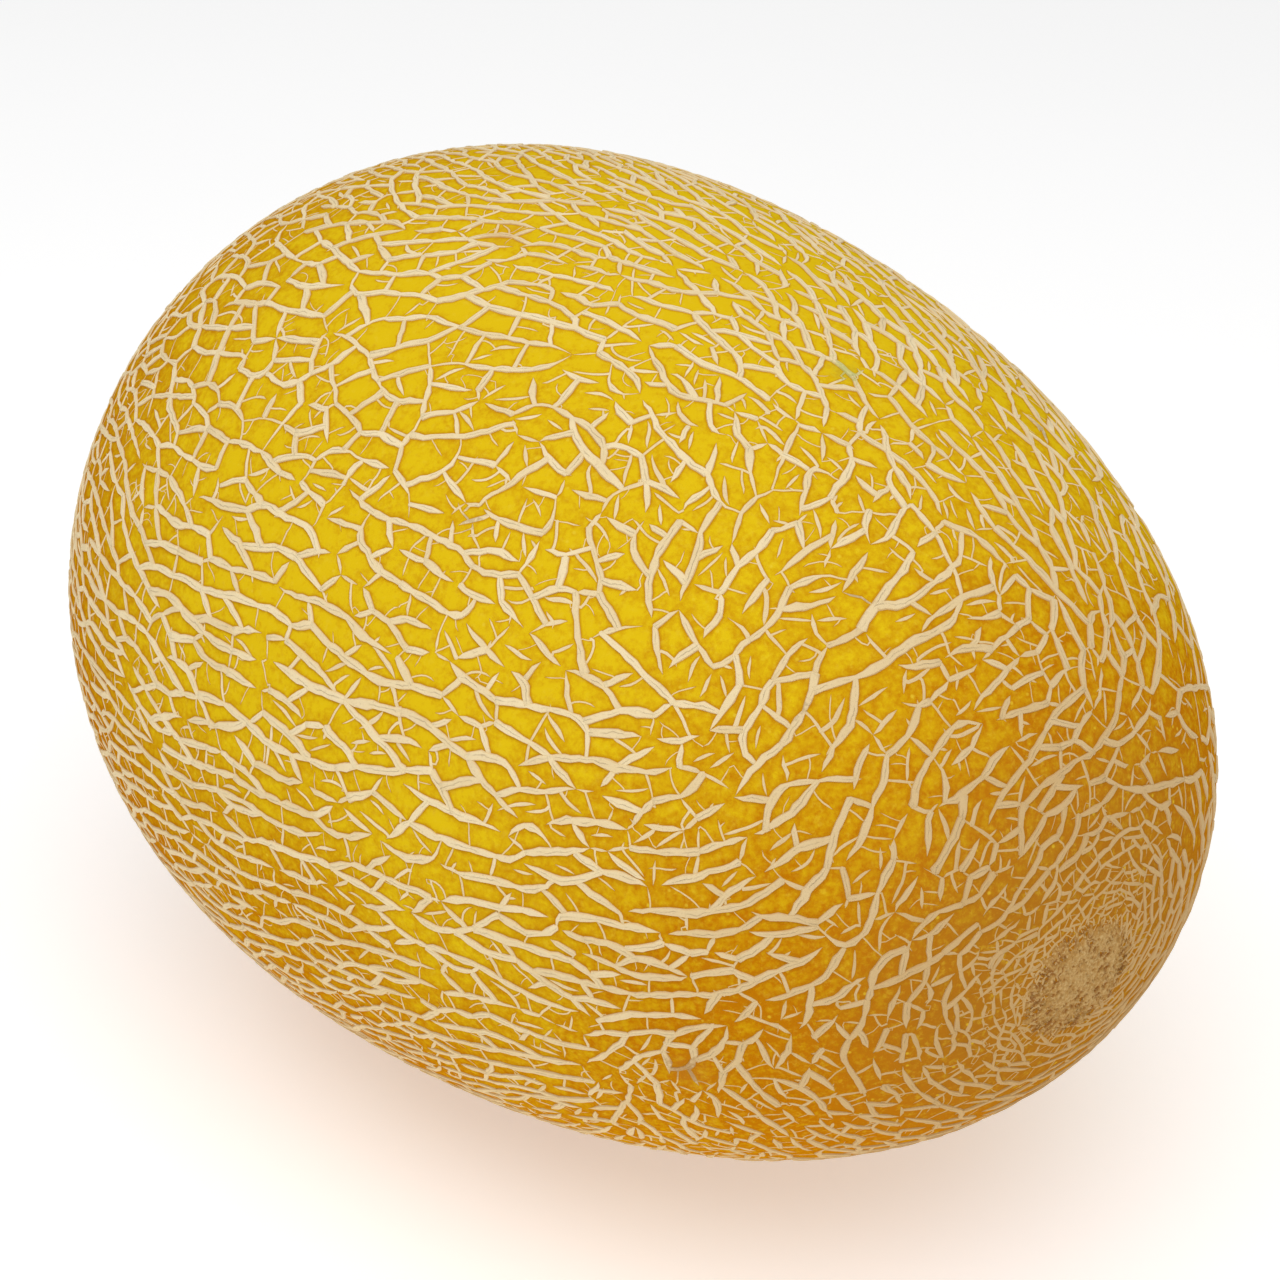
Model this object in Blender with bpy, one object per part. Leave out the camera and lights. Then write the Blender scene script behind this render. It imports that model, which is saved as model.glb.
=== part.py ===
"""Hami melon: one whole fruit lying on its side, with its raised cork net, blossom scar and cut stalk.

Metres, +Z up. The long axis lies along X: the blossom end points to +X and the stalk end to -X.
The origin is the bottom centre of the fruit's box, on the small flat spot that it rests on.
"""

import math
import random

import bmesh
import bpy
from mathutils import Vector

# Driving dimensions of the fruit, in metres and degrees.
LENGTH = 0.210  # stalk end to blossom end, without the net and the stalk
GIRTH_RADIUS = 0.0811  # scales the profile, whose widest girth is then 155 mm across
TAPER = 0.126  # share by which the stalk half is fuller than the blossom half
SHOULDER = 0.062  # share by which both ends are blunter than an ellipsoid's
OVAL = 0.006  # share by which the girth is wider than it is high
LOBES = 0.004  # depth of the three faint lobes, as a share of the radius
LOBE_TURN = math.radians(-12)  # where the first lobe stands, from +Y towards +Z
FLAT_DEPTH = 0.0009  # how far the resting spot is pressed in from the lowest bare rind

# The raised net. Its cells are drawn larger than life; on a real fruit they are about 6 mm wide.
NET_CELLS = 660
NET_JITTER = 0.36  # how far a cell strays from even spacing, as a share of that spacing
NET_STRETCH = 0.24  # draws the cells out along the fruit at the girth and shortens them at the ends
NET_GATHER = 0.15  # draws the net together towards the blossom end
SHORTEST_RIDGE = 0.30  # shorter stretches close up into one junction, as a share of the spacing
MISSING_RIDGES = 0.12  # share of ridges that never formed, so that two cells are one
RIDGE_HEIGHT = 0.0012  # a strong ridge's crest above the rind
RIDGE_HALF_WIDTH = 0.0017  # from the crest to the foot of a strong ridge
RIDGE_SHARE_OF_CELL = 0.16  # and never more than this share of the cell's size
STRONG_JUNCTION = (0.65, 1.0)  # least and greatest strength of most junctions
WEAK_JUNCTION = (0.12, 0.30)  # where the net thins out to a tapered end
WEAK_JUNCTIONS = 0.28  # share of junctions that are weak
LENGTHWISE_WIDTH = (1.25, 0.70)  # width of ridges along the fruit, at the stalk and blossom ends
CROSSWISE_WIDTH = (0.70, 1.25)  # width of ridges round the fruit, at the stalk and blossom ends

# The two ends.
SCAR_LEAN = Vector((0.0, -0.075, -0.088))  # how far off the axis the blossom scar sits
SCAR_RADIUS = 0.0085  # the solid corky patch round it
SCAR_HEIGHT = 0.0006  # how far the patch stands above the rind
SCAR_FILL = 0.0004  # how far its cells are filled up with cork
DIMPLE_DEPTH = 0.0035  # hollow round the stalk
DIMPLE_SPREAD = 0.22  # its reach, in radians from the stalk end
STALK_RADIUS = 0.0052
STALK_FLARE = 0.0074  # radius where the stalk runs into the rind
STALK_LENGTH = 0.0105
STALK_ROOT = 0.004  # how far the stalk is sunk into the fruit
STALK_SIDES = 12

RIND_COLOUR = (0.78, 0.50, 0.02, 1.0)
CORK_COLOUR = (0.80, 0.66, 0.42, 1.0)
SEED = 11


def clear_scene():
    """Remove whatever the startup file holds."""
    for thing in list(bpy.data.objects):
        bpy.data.objects.remove(thing, do_unlink=True)


def collection(name):
    """A new collection, linked to the scene."""
    made = bpy.data.collections.new(name)
    bpy.context.scene.collection.children.link(made)
    return made


def material(name, colour, roughness):
    """A plain Principled material."""
    made = bpy.data.materials.new(name)
    made.use_nodes = True
    made.diffuse_color = colour
    shader = made.node_tree.nodes["Principled BSDF"]
    shader.inputs["Base Color"].default_value = colour
    shader.inputs["Roughness"].default_value = roughness
    shader.inputs["Metallic"].default_value = 0.0
    return made


def rind_point(direction):
    """The bare rind where a direction from the fruit's middle meets it."""
    theta = math.acos(max(-1.0, min(1.0, -direction.x)))
    psi = math.atan2(direction.z, direction.y)
    radius = GIRTH_RADIUS * math.sin(theta)
    radius *= 1 + TAPER * math.cos(theta) + SHOULDER * math.cos(2 * theta)
    radius *= 1 + OVAL * math.cos(2 * psi) + LOBES * math.cos(3 * (psi - LOBE_TURN))
    x = -LENGTH / 2 * math.cos(theta) + DIMPLE_DEPTH * math.exp(-((theta / DIMPLE_SPREAD) ** 2))
    return Vector((x, radius * math.cos(psi), radius * math.sin(psi)))


def net_direction(even):
    """Where a point of the evenly spread net lies once the fruit has grown long and leant its scar."""
    turn = math.acos(max(-1.0, min(1.0, -even.x)))
    theta = turn + NET_GATHER * math.sin(turn) - NET_STRETCH / 2 * math.sin(2 * turn)
    ring = Vector((0.0, even.y, even.z))
    if ring.length > 0:
        ring.normalize()
    direction = Vector((-math.cos(theta), 0.0, 0.0)) + ring * math.sin(theta)
    towards_scar = ((1 - math.cos(theta)) / 2) ** 4
    return (direction + SCAR_LEAN * towards_scar).normalized()


def even_sphere(rng):
    """Jittered points spread evenly over a unit sphere, closed into triangles."""
    spacing = math.sqrt(4 * math.pi / NET_CELLS)
    golden_angle = math.pi * (3 - math.sqrt(5))
    sphere = bmesh.new()
    for i in range(NET_CELLS):
        x = 1 - 2 * (i + 0.5) / NET_CELLS
        ring = math.sqrt(1 - x * x)
        point = Vector((x, ring * math.cos(golden_angle * i), ring * math.sin(golden_angle * i)))
        stray = Vector([rng.uniform(-NET_JITTER, NET_JITTER) * spacing for _ in range(3)])
        sphere.verts.new((point + stray).normalized())
    bmesh.ops.convex_hull(sphere, input=sphere.verts)
    return sphere


def cells_of(sphere):
    """The net's cells: one face round each point, with a corner in each triangle."""
    net = bmesh.new()
    corners = {face: net.verts.new(face.calc_center_median().normalized()) for face in sphere.faces}
    for vert in sphere.verts:
        if not vert.link_loops:
            continue
        loop = vert.link_loops[0]
        ring = []
        for _ in vert.link_faces:
            ring.append(corners[loop.face])
            loop = loop.link_loop_prev.link_loop_radial_next
        net.faces.new(ring)
    bmesh.ops.recalc_face_normals(net, faces=net.faces)
    shortest = SHORTEST_RIDGE * math.sqrt(4 * math.pi / NET_CELLS)
    bmesh.ops.dissolve_degenerate(net, dist=shortest, edges=net.edges)
    return net


def patches_of(net, rng):
    """Group the cells: most alone, some with a neighbour, as where a crack never opened."""
    patches, grouped = [], set()
    edges = list(net.edges)
    rng.shuffle(edges)
    for edge in edges[: round(MISSING_RIDGES * len(edges))]:
        if not grouped.intersection(edge.link_faces):
            grouped.update(edge.link_faces)
            patches.append(list(edge.link_faces))
    return patches + [[cell] for cell in net.faces if cell not in grouped]


def inset_patches(net, patches):
    """Inset each patch by half a ridge. The crests' corners keep their places."""
    for patch in patches:
        size = math.sqrt(min(cell.calc_area() for cell in patch))
        slopes = bmesh.ops.inset_region(
            net,
            faces=patch,
            thickness=min(RIDGE_HALF_WIDTH, RIDGE_SHARE_OF_CELL * size),
            use_boundary=True,
            use_even_offset=True,
        )
        for face in slopes["faces"]:
            face.material_index = 1


def raise_ridges(net, rng):
    """Lift the net's lines to their crests, high and wide at strong junctions, thin at weak ones."""
    strength = {}
    for vert in net.verts:
        weak = rng.random() < WEAK_JUNCTIONS
        strength[vert.co.to_tuple()] = rng.uniform(*(WEAK_JUNCTION if weak else STRONG_JUNCTION))
    inset_patches(net, patches_of(net, rng))
    net.normal_update()
    crests = {vert: strength[vert.co.to_tuple()] for vert in net.verts if vert.co.to_tuple() in strength}
    for foot in [vert for vert in net.verts if vert not in crests]:
        crest = next(edge.other_vert(foot) for edge in foot.link_edges if edge.other_vert(foot) in crests)
        along = max(0.0, min(1.0, 0.5 + crest.co.x / LENGTH))
        lengthwise = LENGTHWISE_WIDTH[0] + (LENGTHWISE_WIDTH[1] - LENGTHWISE_WIDTH[0]) * along
        crosswise = CROSSWISE_WIDTH[0] + (CROSSWISE_WIDTH[1] - CROSSWISE_WIDTH[0]) * along
        offset = (foot.co - crest.co) * crests[crest]
        foot.co = crest.co + Vector((offset.x * crosswise, offset.y * lengthwise, offset.z * lengthwise))
    for crest in crests:
        crest.co += crest.normal * RIDGE_HEIGHT * crests[crest]


def round_cells(net):
    """Bulge the bare rind between the ridges, so that it follows the fruit's roundness."""
    cells = [face for face in net.faces if face.material_index == 0]
    bulges = [cell.normal * cell.calc_area() / (2 * math.pi * GIRTH_RADIUS) for cell in cells]
    middles = bmesh.ops.poke(net, faces=cells)["verts"]
    for middle, bulge in zip(middles, bulges):
        middle.co += bulge


def raise_scar(net):
    """Lift the rind round the blossom scar into one corky patch, and fill up its cells."""
    scar = rind_point((Vector((1.0, 0.0, 0.0)) + SCAR_LEAN).normalized())
    outward = scar.normalized()
    for vert in net.verts:
        share = 1 - (vert.co - scar).length / (2 * SCAR_RADIUS)
        if share > 0:
            vert.co += outward * SCAR_HEIGHT * min(1.0, 2 * share)
    patch = [face for face in net.faces if (face.calc_center_median() - scar).length < SCAR_RADIUS]
    bare = {vert for face in patch if face.material_index == 0 for vert in face.verts}
    for vert in bare:
        vert.co += outward * SCAR_FILL
    for face in patch:
        face.material_index = 1


def press_flat_spot(net, lowest_rind):
    """Level the underside to the small flat that the fruit rests on."""
    floor = lowest_rind + FLAT_DEPTH
    for vert in net.verts:
        vert.co.z = max(vert.co.z, floor)
    level = [face for face in net.faces if all(vert.co.z <= floor for vert in face.verts)]
    inner = [edge for edge in net.edges if all(face in level for face in edge.link_faces)]
    bmesh.ops.dissolve_edges(net, edges=inner, use_verts=True)


def stalk(helpers):
    """The cut stump of the stalk: a short flared stem along -X, sunk into the stalk end."""
    shape = bmesh.new()
    bmesh.ops.create_cone(
        shape,
        cap_ends=True,
        segments=STALK_SIDES,
        radius1=STALK_FLARE,
        radius2=STALK_RADIUS,
        depth=STALK_LENGTH + STALK_ROOT,
    )
    mesh = bpy.data.meshes.new("stalk")
    shape.to_mesh(mesh)
    shape.free()
    stump = bpy.data.objects.new("stalk", mesh)
    stalk_end = rind_point(Vector((-1.0, 0.0, 0.0)))
    stump.location = stalk_end + Vector((STALK_ROOT / 2 - STALK_LENGTH / 2, 0.0, 0.0))
    stump.rotation_euler = (0.0, math.radians(-90), 0.0)
    stump.hide_render = True
    stump.display_type = "WIRE"
    helpers.objects.link(stump)
    return stump


def fruit(parts):
    """The fruit's rind with its net, scar and flat spot, as one closed skin."""
    rng = random.Random(SEED)
    sphere = even_sphere(rng)
    net = cells_of(sphere)
    sphere.free()
    for vert in net.verts:
        vert.co = rind_point(net_direction(vert.co))
    lowest_rind = min(vert.co.z for vert in net.verts)
    raise_ridges(net, rng)
    round_cells(net)
    raise_scar(net)
    press_flat_spot(net, lowest_rind)
    mesh = bpy.data.meshes.new("melon")
    net.to_mesh(mesh)
    net.free()
    mesh.materials.append(material("rind", RIND_COLOUR, 0.42))
    mesh.materials.append(material("cork", CORK_COLOUR, 0.85))
    mesh.shade_smooth()
    mesh.set_sharp_from_angle(angle=math.radians(20))
    melon = bpy.data.objects.new("melon", mesh)
    parts.objects.link(melon)
    return melon


def join_stalk(melon, stump):
    """Fuse the stalk to the fruit, because it grew from it."""
    union = melon.modifiers.new("stalk", "BOOLEAN")
    union.operation = "UNION"
    union.solver = "EXACT"
    union.object = stump


def stand_on_origin(melon, stump):
    """Move the fruit so that the bottom centre of its box is the origin."""
    bpy.context.view_layer.update()
    graph = bpy.context.evaluated_depsgraph_get()
    corners = [Vector(corner) for corner in melon.evaluated_get(graph).bound_box]
    low = Vector([min(corner[i] for corner in corners) for i in range(3)])
    high = Vector([max(corner[i] for corner in corners) for i in range(3)])
    shift = -Vector(((low.x + high.x) / 2, (low.y + high.y) / 2, low.z))
    melon.location = shift
    stump.location += shift


def main():
    clear_scene()
    melon = fruit(collection("hami_melon"))
    stump = stalk(collection("helpers"))
    join_stalk(melon, stump)
    stand_on_origin(melon, stump)


main()
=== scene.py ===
"""Hami melon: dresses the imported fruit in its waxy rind, raised cork net, blossom scar and cut stalk.

The file is laid out as an add-on and is run as a script. Everything is in metres, +Z up, in the frame
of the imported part: the fruit lies along X, its blossom end to +X and its stalk end to -X, on Z = 0.
Only the net grows in millimetres, measured from the fruit's middle.
"""

import math
import random
from typing import NamedTuple

import bmesh
import bpy
import numpy as np
from bpy.props import FloatProperty, FloatVectorProperty, IntProperty, PointerProperty
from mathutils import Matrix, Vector, kdtree, noise


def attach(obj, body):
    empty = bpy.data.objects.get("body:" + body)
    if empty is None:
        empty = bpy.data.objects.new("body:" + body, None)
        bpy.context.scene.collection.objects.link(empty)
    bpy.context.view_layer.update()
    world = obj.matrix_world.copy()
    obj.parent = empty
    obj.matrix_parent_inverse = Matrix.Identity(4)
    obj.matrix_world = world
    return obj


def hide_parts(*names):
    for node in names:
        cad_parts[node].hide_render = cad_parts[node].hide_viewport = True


bl_info = {
    "name": "Hami melon",
    "version": (1, 0, 0),
    "blender": (4, 5, 0),
    "location": "View3D > Sidebar > Melon",
    "description": "Builds the rind, cork net, blossom scar and stalk of a hami melon round its solid",
    "category": "Object",
}

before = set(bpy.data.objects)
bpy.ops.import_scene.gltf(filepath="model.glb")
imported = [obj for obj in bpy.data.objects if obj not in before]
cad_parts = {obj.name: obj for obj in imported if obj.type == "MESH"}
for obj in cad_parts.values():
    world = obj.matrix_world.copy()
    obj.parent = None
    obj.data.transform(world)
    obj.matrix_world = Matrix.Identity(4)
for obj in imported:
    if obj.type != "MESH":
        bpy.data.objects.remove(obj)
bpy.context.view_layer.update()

MM = 0.001

# The fruit's own rule, with the same values as its solid.
HALF_LENGTH = 0.105
GIRTH_RADIUS = 0.0811
TAPER = 0.126  # how much slimmer it gets towards the blossom end
SHOULDER = 0.062  # how much fuller its two ends are
OVAL = 0.006  # how far its section is from round
LOBES = 0.004  # how far three faint lobes stand out
LOBE_TURN = math.radians(-12)
DIMPLE_DEPTH = 0.0035  # the hollow round the stalk
DIMPLE_SPREAD = 0.22  # as an angle from the stalk's axis
MIDDLE = Vector((0.002707, -0.000235, 0.075355))
SCAR_DIRECTION = Vector((1.0, -0.075, -0.088)).normalized()
STALK_DIRECTION = Vector((-1.0, 0.0, 0.0))

# The camera's place, from the outline in the photograph.
VIEW_AZIMUTH = math.radians(50.1)
VIEW_ELEVATION = math.radians(28.56)
VIEW_DISTANCE = 0.4754
VIEW_FIELD = math.radians(25.0)
VIEW_SHIFT = (4.0 / 1280, 15.3 / 1280)


def smooth_step(low, high, value):
    """0 below low, 1 above high, and a smooth rise between; low may be the higher of the two."""
    share = max(0.0, min(1.0, (value - low) / (high - low)))
    return share * share * (3 - 2 * share)


def hill(value, centre, spread):
    """1 at the centre, and a smooth fall to nothing on both sides of it."""
    return math.exp(-(((value - centre) / spread) ** 2))


def girth(along, turn, cosine=math.cos):
    """The fruit's radius per unit of the sphere's, where along is the sphere's X and turn its angle."""
    radius = GIRTH_RADIUS * (1 - TAPER * along + SHOULDER * (2 * along * along - 1))
    return radius * (1 + OVAL * cosine(2 * turn) + LOBES * cosine(3 * (turn - LOBE_TURN)))


def bare_point(direction):
    """Where a direction of the unit sphere meets the fruit, before its stalk end is dimpled."""
    radius = girth(direction.x, math.atan2(direction.z, direction.y))
    return Vector((HALF_LENGTH * direction.x, radius * direction.y, radius * direction.z))


def sphere_direction(point):
    """The direction of the unit sphere that a point on or near the fruit belongs to."""
    turn = math.atan2(point.z, point.y)
    along = max(-1.0, min(1.0, point.x / HALF_LENGTH))
    for _ in range(2):
        radius = girth(along, turn)
        direction = Vector((point.x / HALF_LENGTH, point.y / radius, point.z / radius)).normalized()
        along = direction.x
    return direction


def rind_points(directions):
    """The finished rind's points for an array of sphere directions, in the part's frame."""
    x, y, z = directions[:, 0], directions[:, 1], directions[:, 2]
    radius = girth(x, np.arctan2(z, y), np.cos)
    angle = np.arccos(np.clip(-x, -1.0, 1.0))
    dimple = DIMPLE_DEPTH * np.exp(-((angle / DIMPLE_SPREAD) ** 2))
    return np.stack([HALF_LENGTH * x + dimple, radius * y, radius * z], axis=1) + np.array(MIDDLE)


def rind_normals(directions):
    """Outward normals of the finished rind for an array of sphere directions."""
    helper = np.where(np.abs(directions[:, :1]) > 0.9, [[0.0, 1.0, 0.0]], [[1.0, 0.0, 0.0]])
    first = np.cross(directions, helper)
    first /= np.linalg.norm(first, axis=1, keepdims=True)
    second = np.cross(directions, first)
    step = 1e-3

    def shifted(way):
        moved = directions + way * step
        return rind_points(moved / np.linalg.norm(moved, axis=1, keepdims=True))

    slope_one = shifted(first) - shifted(-first)
    slope_two = shifted(second) - shifted(-second)
    normals = np.cross(slope_one, slope_two)
    return normals / np.linalg.norm(normals, axis=1, keepdims=True)


SCAR_PLACE = bare_point(SCAR_DIRECTION) + MIDDLE


# The net follows the way that the rind cracks: first round patches, then the wounds between them.
# Its lengths are in millimetres. Its bearings are in degrees round the fruit, as bearing gives them.


class CrackKind(NamedTuple):
    """How one generation of small cracks starts, runs and ends."""

    tries: int  # places tried as a start
    reach: tuple  # least and greatest length
    half_width: tuple  # least and greatest half width
    step: float  # length of one step of its growth
    wander: float  # how much its heading strays
    joins: float  # share of ends that run into another crack
    sense: float  # how far ahead it feels another crack
    gap: float = 0.0  # room needed round a start
    turn: tuple = (0, 0)  # least and greatest angle from the grain, or from the parent's side


class NetLine(NamedTuple):
    """One line of the finished net."""

    points: list
    widths: list  # the half width at each point
    kind: object  # its CrackKind, or CELL_LINE
    tone: float  # how dark its cork is, from 0 to 1


CELL_LINE = "cell line"
BLADE = CrackKind(9000, (3.2, 7.0), (0.18, 0.40), 0.8, 0.08, 0.45, 1.1, gap=1.30, turn=(0, 50))
TWIG = CrackKind(6500, (2.0, 5.0), (0.11, 0.24), 0.8, 0.13, 0.85, 1.5, gap=1.10, turn=(0, 28))
THORN = CrackKind(1500, (0.6, 1.5), (0.18, 0.32), 0.5, 0.08, 0.0, 0.5, gap=0.60, turn=(20, 55))
HAIR = CrackKind(10000, (1.4, 4.0), (0.065, 0.12), 0.8, 0.16, 0.70, 1.2, gap=0.76, turn=(0, 35))
RAY = CrackKind(240, (2.0, 5.0), (0.10, 0.19), 0.5, 0.16, 0.9, 1.2)
RAY_START = (6.0, 10.5)  # least and greatest distance from the scar's middle
RAY_ROOM = 0.3

# How closely the net is spaced.
CELL_SPACING = 5.25
CELL_CROWDING = 0.74  # least gap between the middles of two patches, as a share of their spacing
CELL_THROWS = 21000
SCAR_THROWS = 5  # one throw in so many falls beside the scar
SCAR_SCATTER = 11
SCAR_CLEARING = 3  # no patch has its middle so close to the scar's
FINER_AT_STALK = 0.46
SPACING_AT_SCAR = 0.22
FINER_BELOW = 0.20
FINER_ON_CROWN = 0.26
WIDER_BEHIND = 0.42
FRONT_TO_BELOW = (-45, -80)
FRONT_TO_CROWN = (56, 88)
CROWN_TO_BACK = (112, 140)

# Which way its lines run, and how much longer than wide its patches are.
PARTING = 42  # the bearing on both sides of which the lines circle the blossom end the other way
SWIRLS = (  # where the lines turn aside: the middle, the radius and the turn in degrees
    ((-4, -30, 70), 32, 42),
    ((-46, -68, 30), 20, -28),
    ((58, -56, -28), 22, -26),
    ((83, 10, 43), 24, 30),
)
CALM_BEARING = 52  # where the patches are about as wide as long
CALM_SPOT = Vector((44, -22, 62))
END_STRETCH = 1.75  # patches round the blossom end

# How the sides of the patches join up into lines.
NEIGHBOURS = 18  # seeds that are looked at for a patch's sides
SHORTEST_SIDE = 0.20  # as a share of the spacing; a shorter side shrinks to one corner
PAIRING_CHANCE = 0.25
OPENING = 0.55  # share of the looseness that leaves an end open at a corner
STRAIGHT_BEND = -0.25  # greatest cosine between two sides that run on into each other
SPARE_BEND = 0.1  # the same for the two sides beside an open one
RUN_ON = 0.80  # share of such pairs that do run on
SHARP_BEND = 0.15  # least cosine between two ends that meet in a point
EASING = 0.32
POINT_GAP = 1.2
SWAY = 0.60
SWAY_LENGTH = 2.7
TREMOR = 0.07

# Half widths of the lines.
LEAST_HALF = 0.28
EXTRA_HALF = 0.40
THIN_HALF = (0.13, 0.24)
THIN_SHARE = 0.45  # share of the weaker sides that are thin

# Sides of the cubes of space in which seeds and lines are looked up.
SEED_BUCKET = 6
LINE_BUCKET = 3.0


def bucket(place, size):
    """The cube of space, of a side's length, that a place is in."""
    return tuple(int(value // size) for value in place)


def buckets_round(place, reach, size):
    """The cubes that can hold places within reach of one."""
    spans = [range(int((value - reach) // size), int((value + reach) // size) + 1) for value in place]
    return [(x, y, z) for x in spans[0] for y in spans[1] for z in spans[2]]


def cut_outline(corners, borders, slope_u, slope_v, limit, name):
    """Cut a convex outline with a straight line. borders[i] names the side from corner i to the next."""
    reaches = [u * slope_u + v * slope_v - limit for u, v in corners]
    if max(reaches) <= 0:
        return corners, borders
    kept, names = [], []
    for i, (u, v) in enumerate(corners):
        after = (i + 1) % len(corners)
        here, there = reaches[i], reaches[after]
        if here <= 0:
            kept.append((u, v))
            names.append(borders[i])
        if (here <= 0) != (there <= 0):
            share = here / (here - there)
            next_u, next_v = corners[after]
            kept.append((u + (next_u - u) * share, v + (next_v - v) * share))
            names.append(name if here <= 0 else borders[i])
    return kept, names


class CellSeed:
    """The middle of a patch of rind, with the two ways and lengths that its patch is measured by."""

    def __init__(self, growth, place, normal):
        self.place = place
        self.along = growth.grain(place, normal)
        self.across = normal.cross(self.along)
        spacing = CELL_SPACING * growth.room(place)
        ratio = math.sqrt(growth.stretch(place))
        self.length = spacing * ratio
        self.width = spacing / ratio

    def pull(self, gap):
        """The gap to another seed as this seed's patch measures it."""
        along = self.along * (gap.dot(self.along) / self.length**2)
        return along + self.across * (gap.dot(self.across) / self.width**2)


class NetGrowth:
    """Lays the net over the bare fruit, in millimetres from its middle."""

    def __init__(self, seed, cell_size):
        self.rng = random.Random(seed)
        noise.seed_set(seed)  # else noise_vector would start from the clock
        self.cell_size = cell_size
        self.buckets = {}
        self.lines = []
        self.scar = bare_point(SCAR_DIRECTION) / MM

    def settle(self, point):
        """The nearest place on the fruit, and the outward normal there."""
        direction = sphere_direction(point * MM)
        place = bare_point(direction) / MM
        stretch = HALF_LENGTH / GIRTH_RADIUS
        normal = Vector((place.x / stretch / stretch, place.y, place.z)).normalized()
        return place, normal

    def jitter(self, size):
        """A small random step."""
        return Vector([self.rng.gauss(0, size) for _ in range(3)])

    def anywhere(self):
        """A random place on the fruit, and its normal."""
        direction = self.jitter(1).normalized()
        return self.settle(bare_point(direction) / MM)

    def beside_scar(self):
        """A random place on the blossom end, and its normal."""
        return self.settle(self.scar + self.jitter(SCAR_SCATTER))

    def along(self, place):
        """How far along the fruit a place lies, from -1 at the stalk to 1 at the blossom end."""
        return place.x / (HALF_LENGTH / MM)

    def bearing(self, place):
        """Where a place lies round the fruit, in degrees: 0 in front, 90 on top, 180 behind, -90 below."""
        return math.degrees(math.atan2(place.z, -place.y))

    def from_scar(self, place):
        return (place - self.scar).length

    def room(self, place):
        """How widely the net is spaced at a place, as a share of its widest spacing."""
        bearing = self.bearing(place)
        crown = smooth_step(*FRONT_TO_CROWN, bearing) * smooth_step(*CROWN_TO_BACK[::-1], bearing)
        hidden = smooth_step(*FRONT_TO_BELOW, bearing) + smooth_step(*CROWN_TO_BACK, bearing)
        room = 1 - FINER_AT_STALK * smooth_step(-0.20, -0.90, self.along(place))
        room *= SPACING_AT_SCAR + (1 - SPACING_AT_SCAR) * smooth_step(4, 35, self.from_scar(place))
        room *= 1 - FINER_BELOW * smooth_step(35, -25, place.z) - FINER_ON_CROWN * crown
        room *= 1 + WIDER_BEHIND * hidden * smooth_step(-80, -15, place.x)
        return room * (1 + 0.28 * noise.noise(place / 24)) * self.cell_size

    def encircled(self, place):
        """How far the net runs round the blossom end at a place, from 0 to 1."""
        bearing = self.bearing(place)
        onset = 70 - 28 * hill(bearing, 3, 18) + 14 * hill(bearing, 58, 22)
        onset -= 30 * smooth_step(74, 94, bearing) * smooth_step(178, 150, bearing)
        gap = self.from_scar(place) + 12 * noise.noise(place / 30)
        return smooth_step(onset + 16, onset - 16, gap)

    def grain(self, place, normal):
        """The way that long cracks run: along the fruit with a slight twist, and round its blossom end."""
        axial = Vector((1, 0, 0)) - normal * normal.x
        if axial.length < 0.05:
            axial = Vector((0, 1, 0)) - normal * normal.y
        axial.normalize()
        bearing = self.bearing(place)
        twist = -18 * math.sin(math.radians(bearing - 25))
        around = -92
        if -180 + PARTING < bearing < PARTING:
            around = 90 - 48 * hill(bearing, 4, 20) + 20 * hill(bearing, 75, 30)
        for centre, radius, turn in SWIRLS:
            twist += turn * hill((place - Vector(centre)).length, 0, radius)
        twist += (around - twist) * self.encircled(place)
        angle = math.radians(twist + 26 * noise.noise(place / 17 + Vector((40, 0, 0))))
        return axial * math.cos(angle) + normal.cross(axial) * math.sin(angle)

    def stretch(self, place):
        """How much longer than wide the patches are."""
        bearing = self.bearing(place)
        calm = hill(bearing, CALM_BEARING, 26) + 0.8 * hill((place - CALM_SPOT).length, 0, 20)
        calm += 0.6 * smooth_step(40, 72, place.x) * smooth_step(76, 100, bearing)
        drawn_out = 1.05 * (1 - 0.85 * min(1.0, calm))
        ratio = 1.10 + drawn_out * smooth_step(-0.92, -0.45, self.along(place))
        ratio += (END_STRETCH - ratio) * self.encircled(place)
        return max(1.0, ratio * (1 + 0.25 * noise.noise(place / 21 + Vector((0, 70, 0)))))

    def looseness(self, place):
        """The share of lines that stay open at an end."""
        calm = hill(self.bearing(place), CALM_BEARING, 40)
        share = 0.12 + (0.24 + 0.30 * calm) * smooth_step(-0.30, 0.25, self.along(place))
        share -= 0.22 * smooth_step(40, 14, self.from_scar(place))
        return max(0.05, share + 0.35 * noise.noise(place / 16 + Vector((0, 0, 90))))

    def scatter(self):
        """Seeds thrown at random over the fruit, kept where they have room."""
        seeds, nearby = [], {}
        for number in range(CELL_THROWS):
            spot = self.anywhere() if number % SCAR_THROWS else self.beside_scar()
            seed = CellSeed(self, *spot)
            if self.from_scar(seed.place) < SCAR_CLEARING:
                continue
            keys = buckets_round(seed.place, SEED_BUCKET, SEED_BUCKET)
            gaps = [other.place - seed.place for key in keys for other in nearby.get(key, ())]
            if all(gap.dot(seed.pull(gap)) > CELL_CROWDING**2 for gap in gaps):
                seeds.append(seed)
                nearby.setdefault(bucket(seed.place, SEED_BUCKET), []).append(seed)
        return seeds

    def cut_cells(self, seeds):
        """Each seed's patch, as its corners in 3-D and the numbers of the seeds across its sides."""
        tree = kdtree.KDTree(len(seeds))
        for i, seed in enumerate(seeds):
            tree.insert(seed.place, i)
        tree.balance()
        cells = []
        for i, seed in enumerate(seeds):
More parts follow.
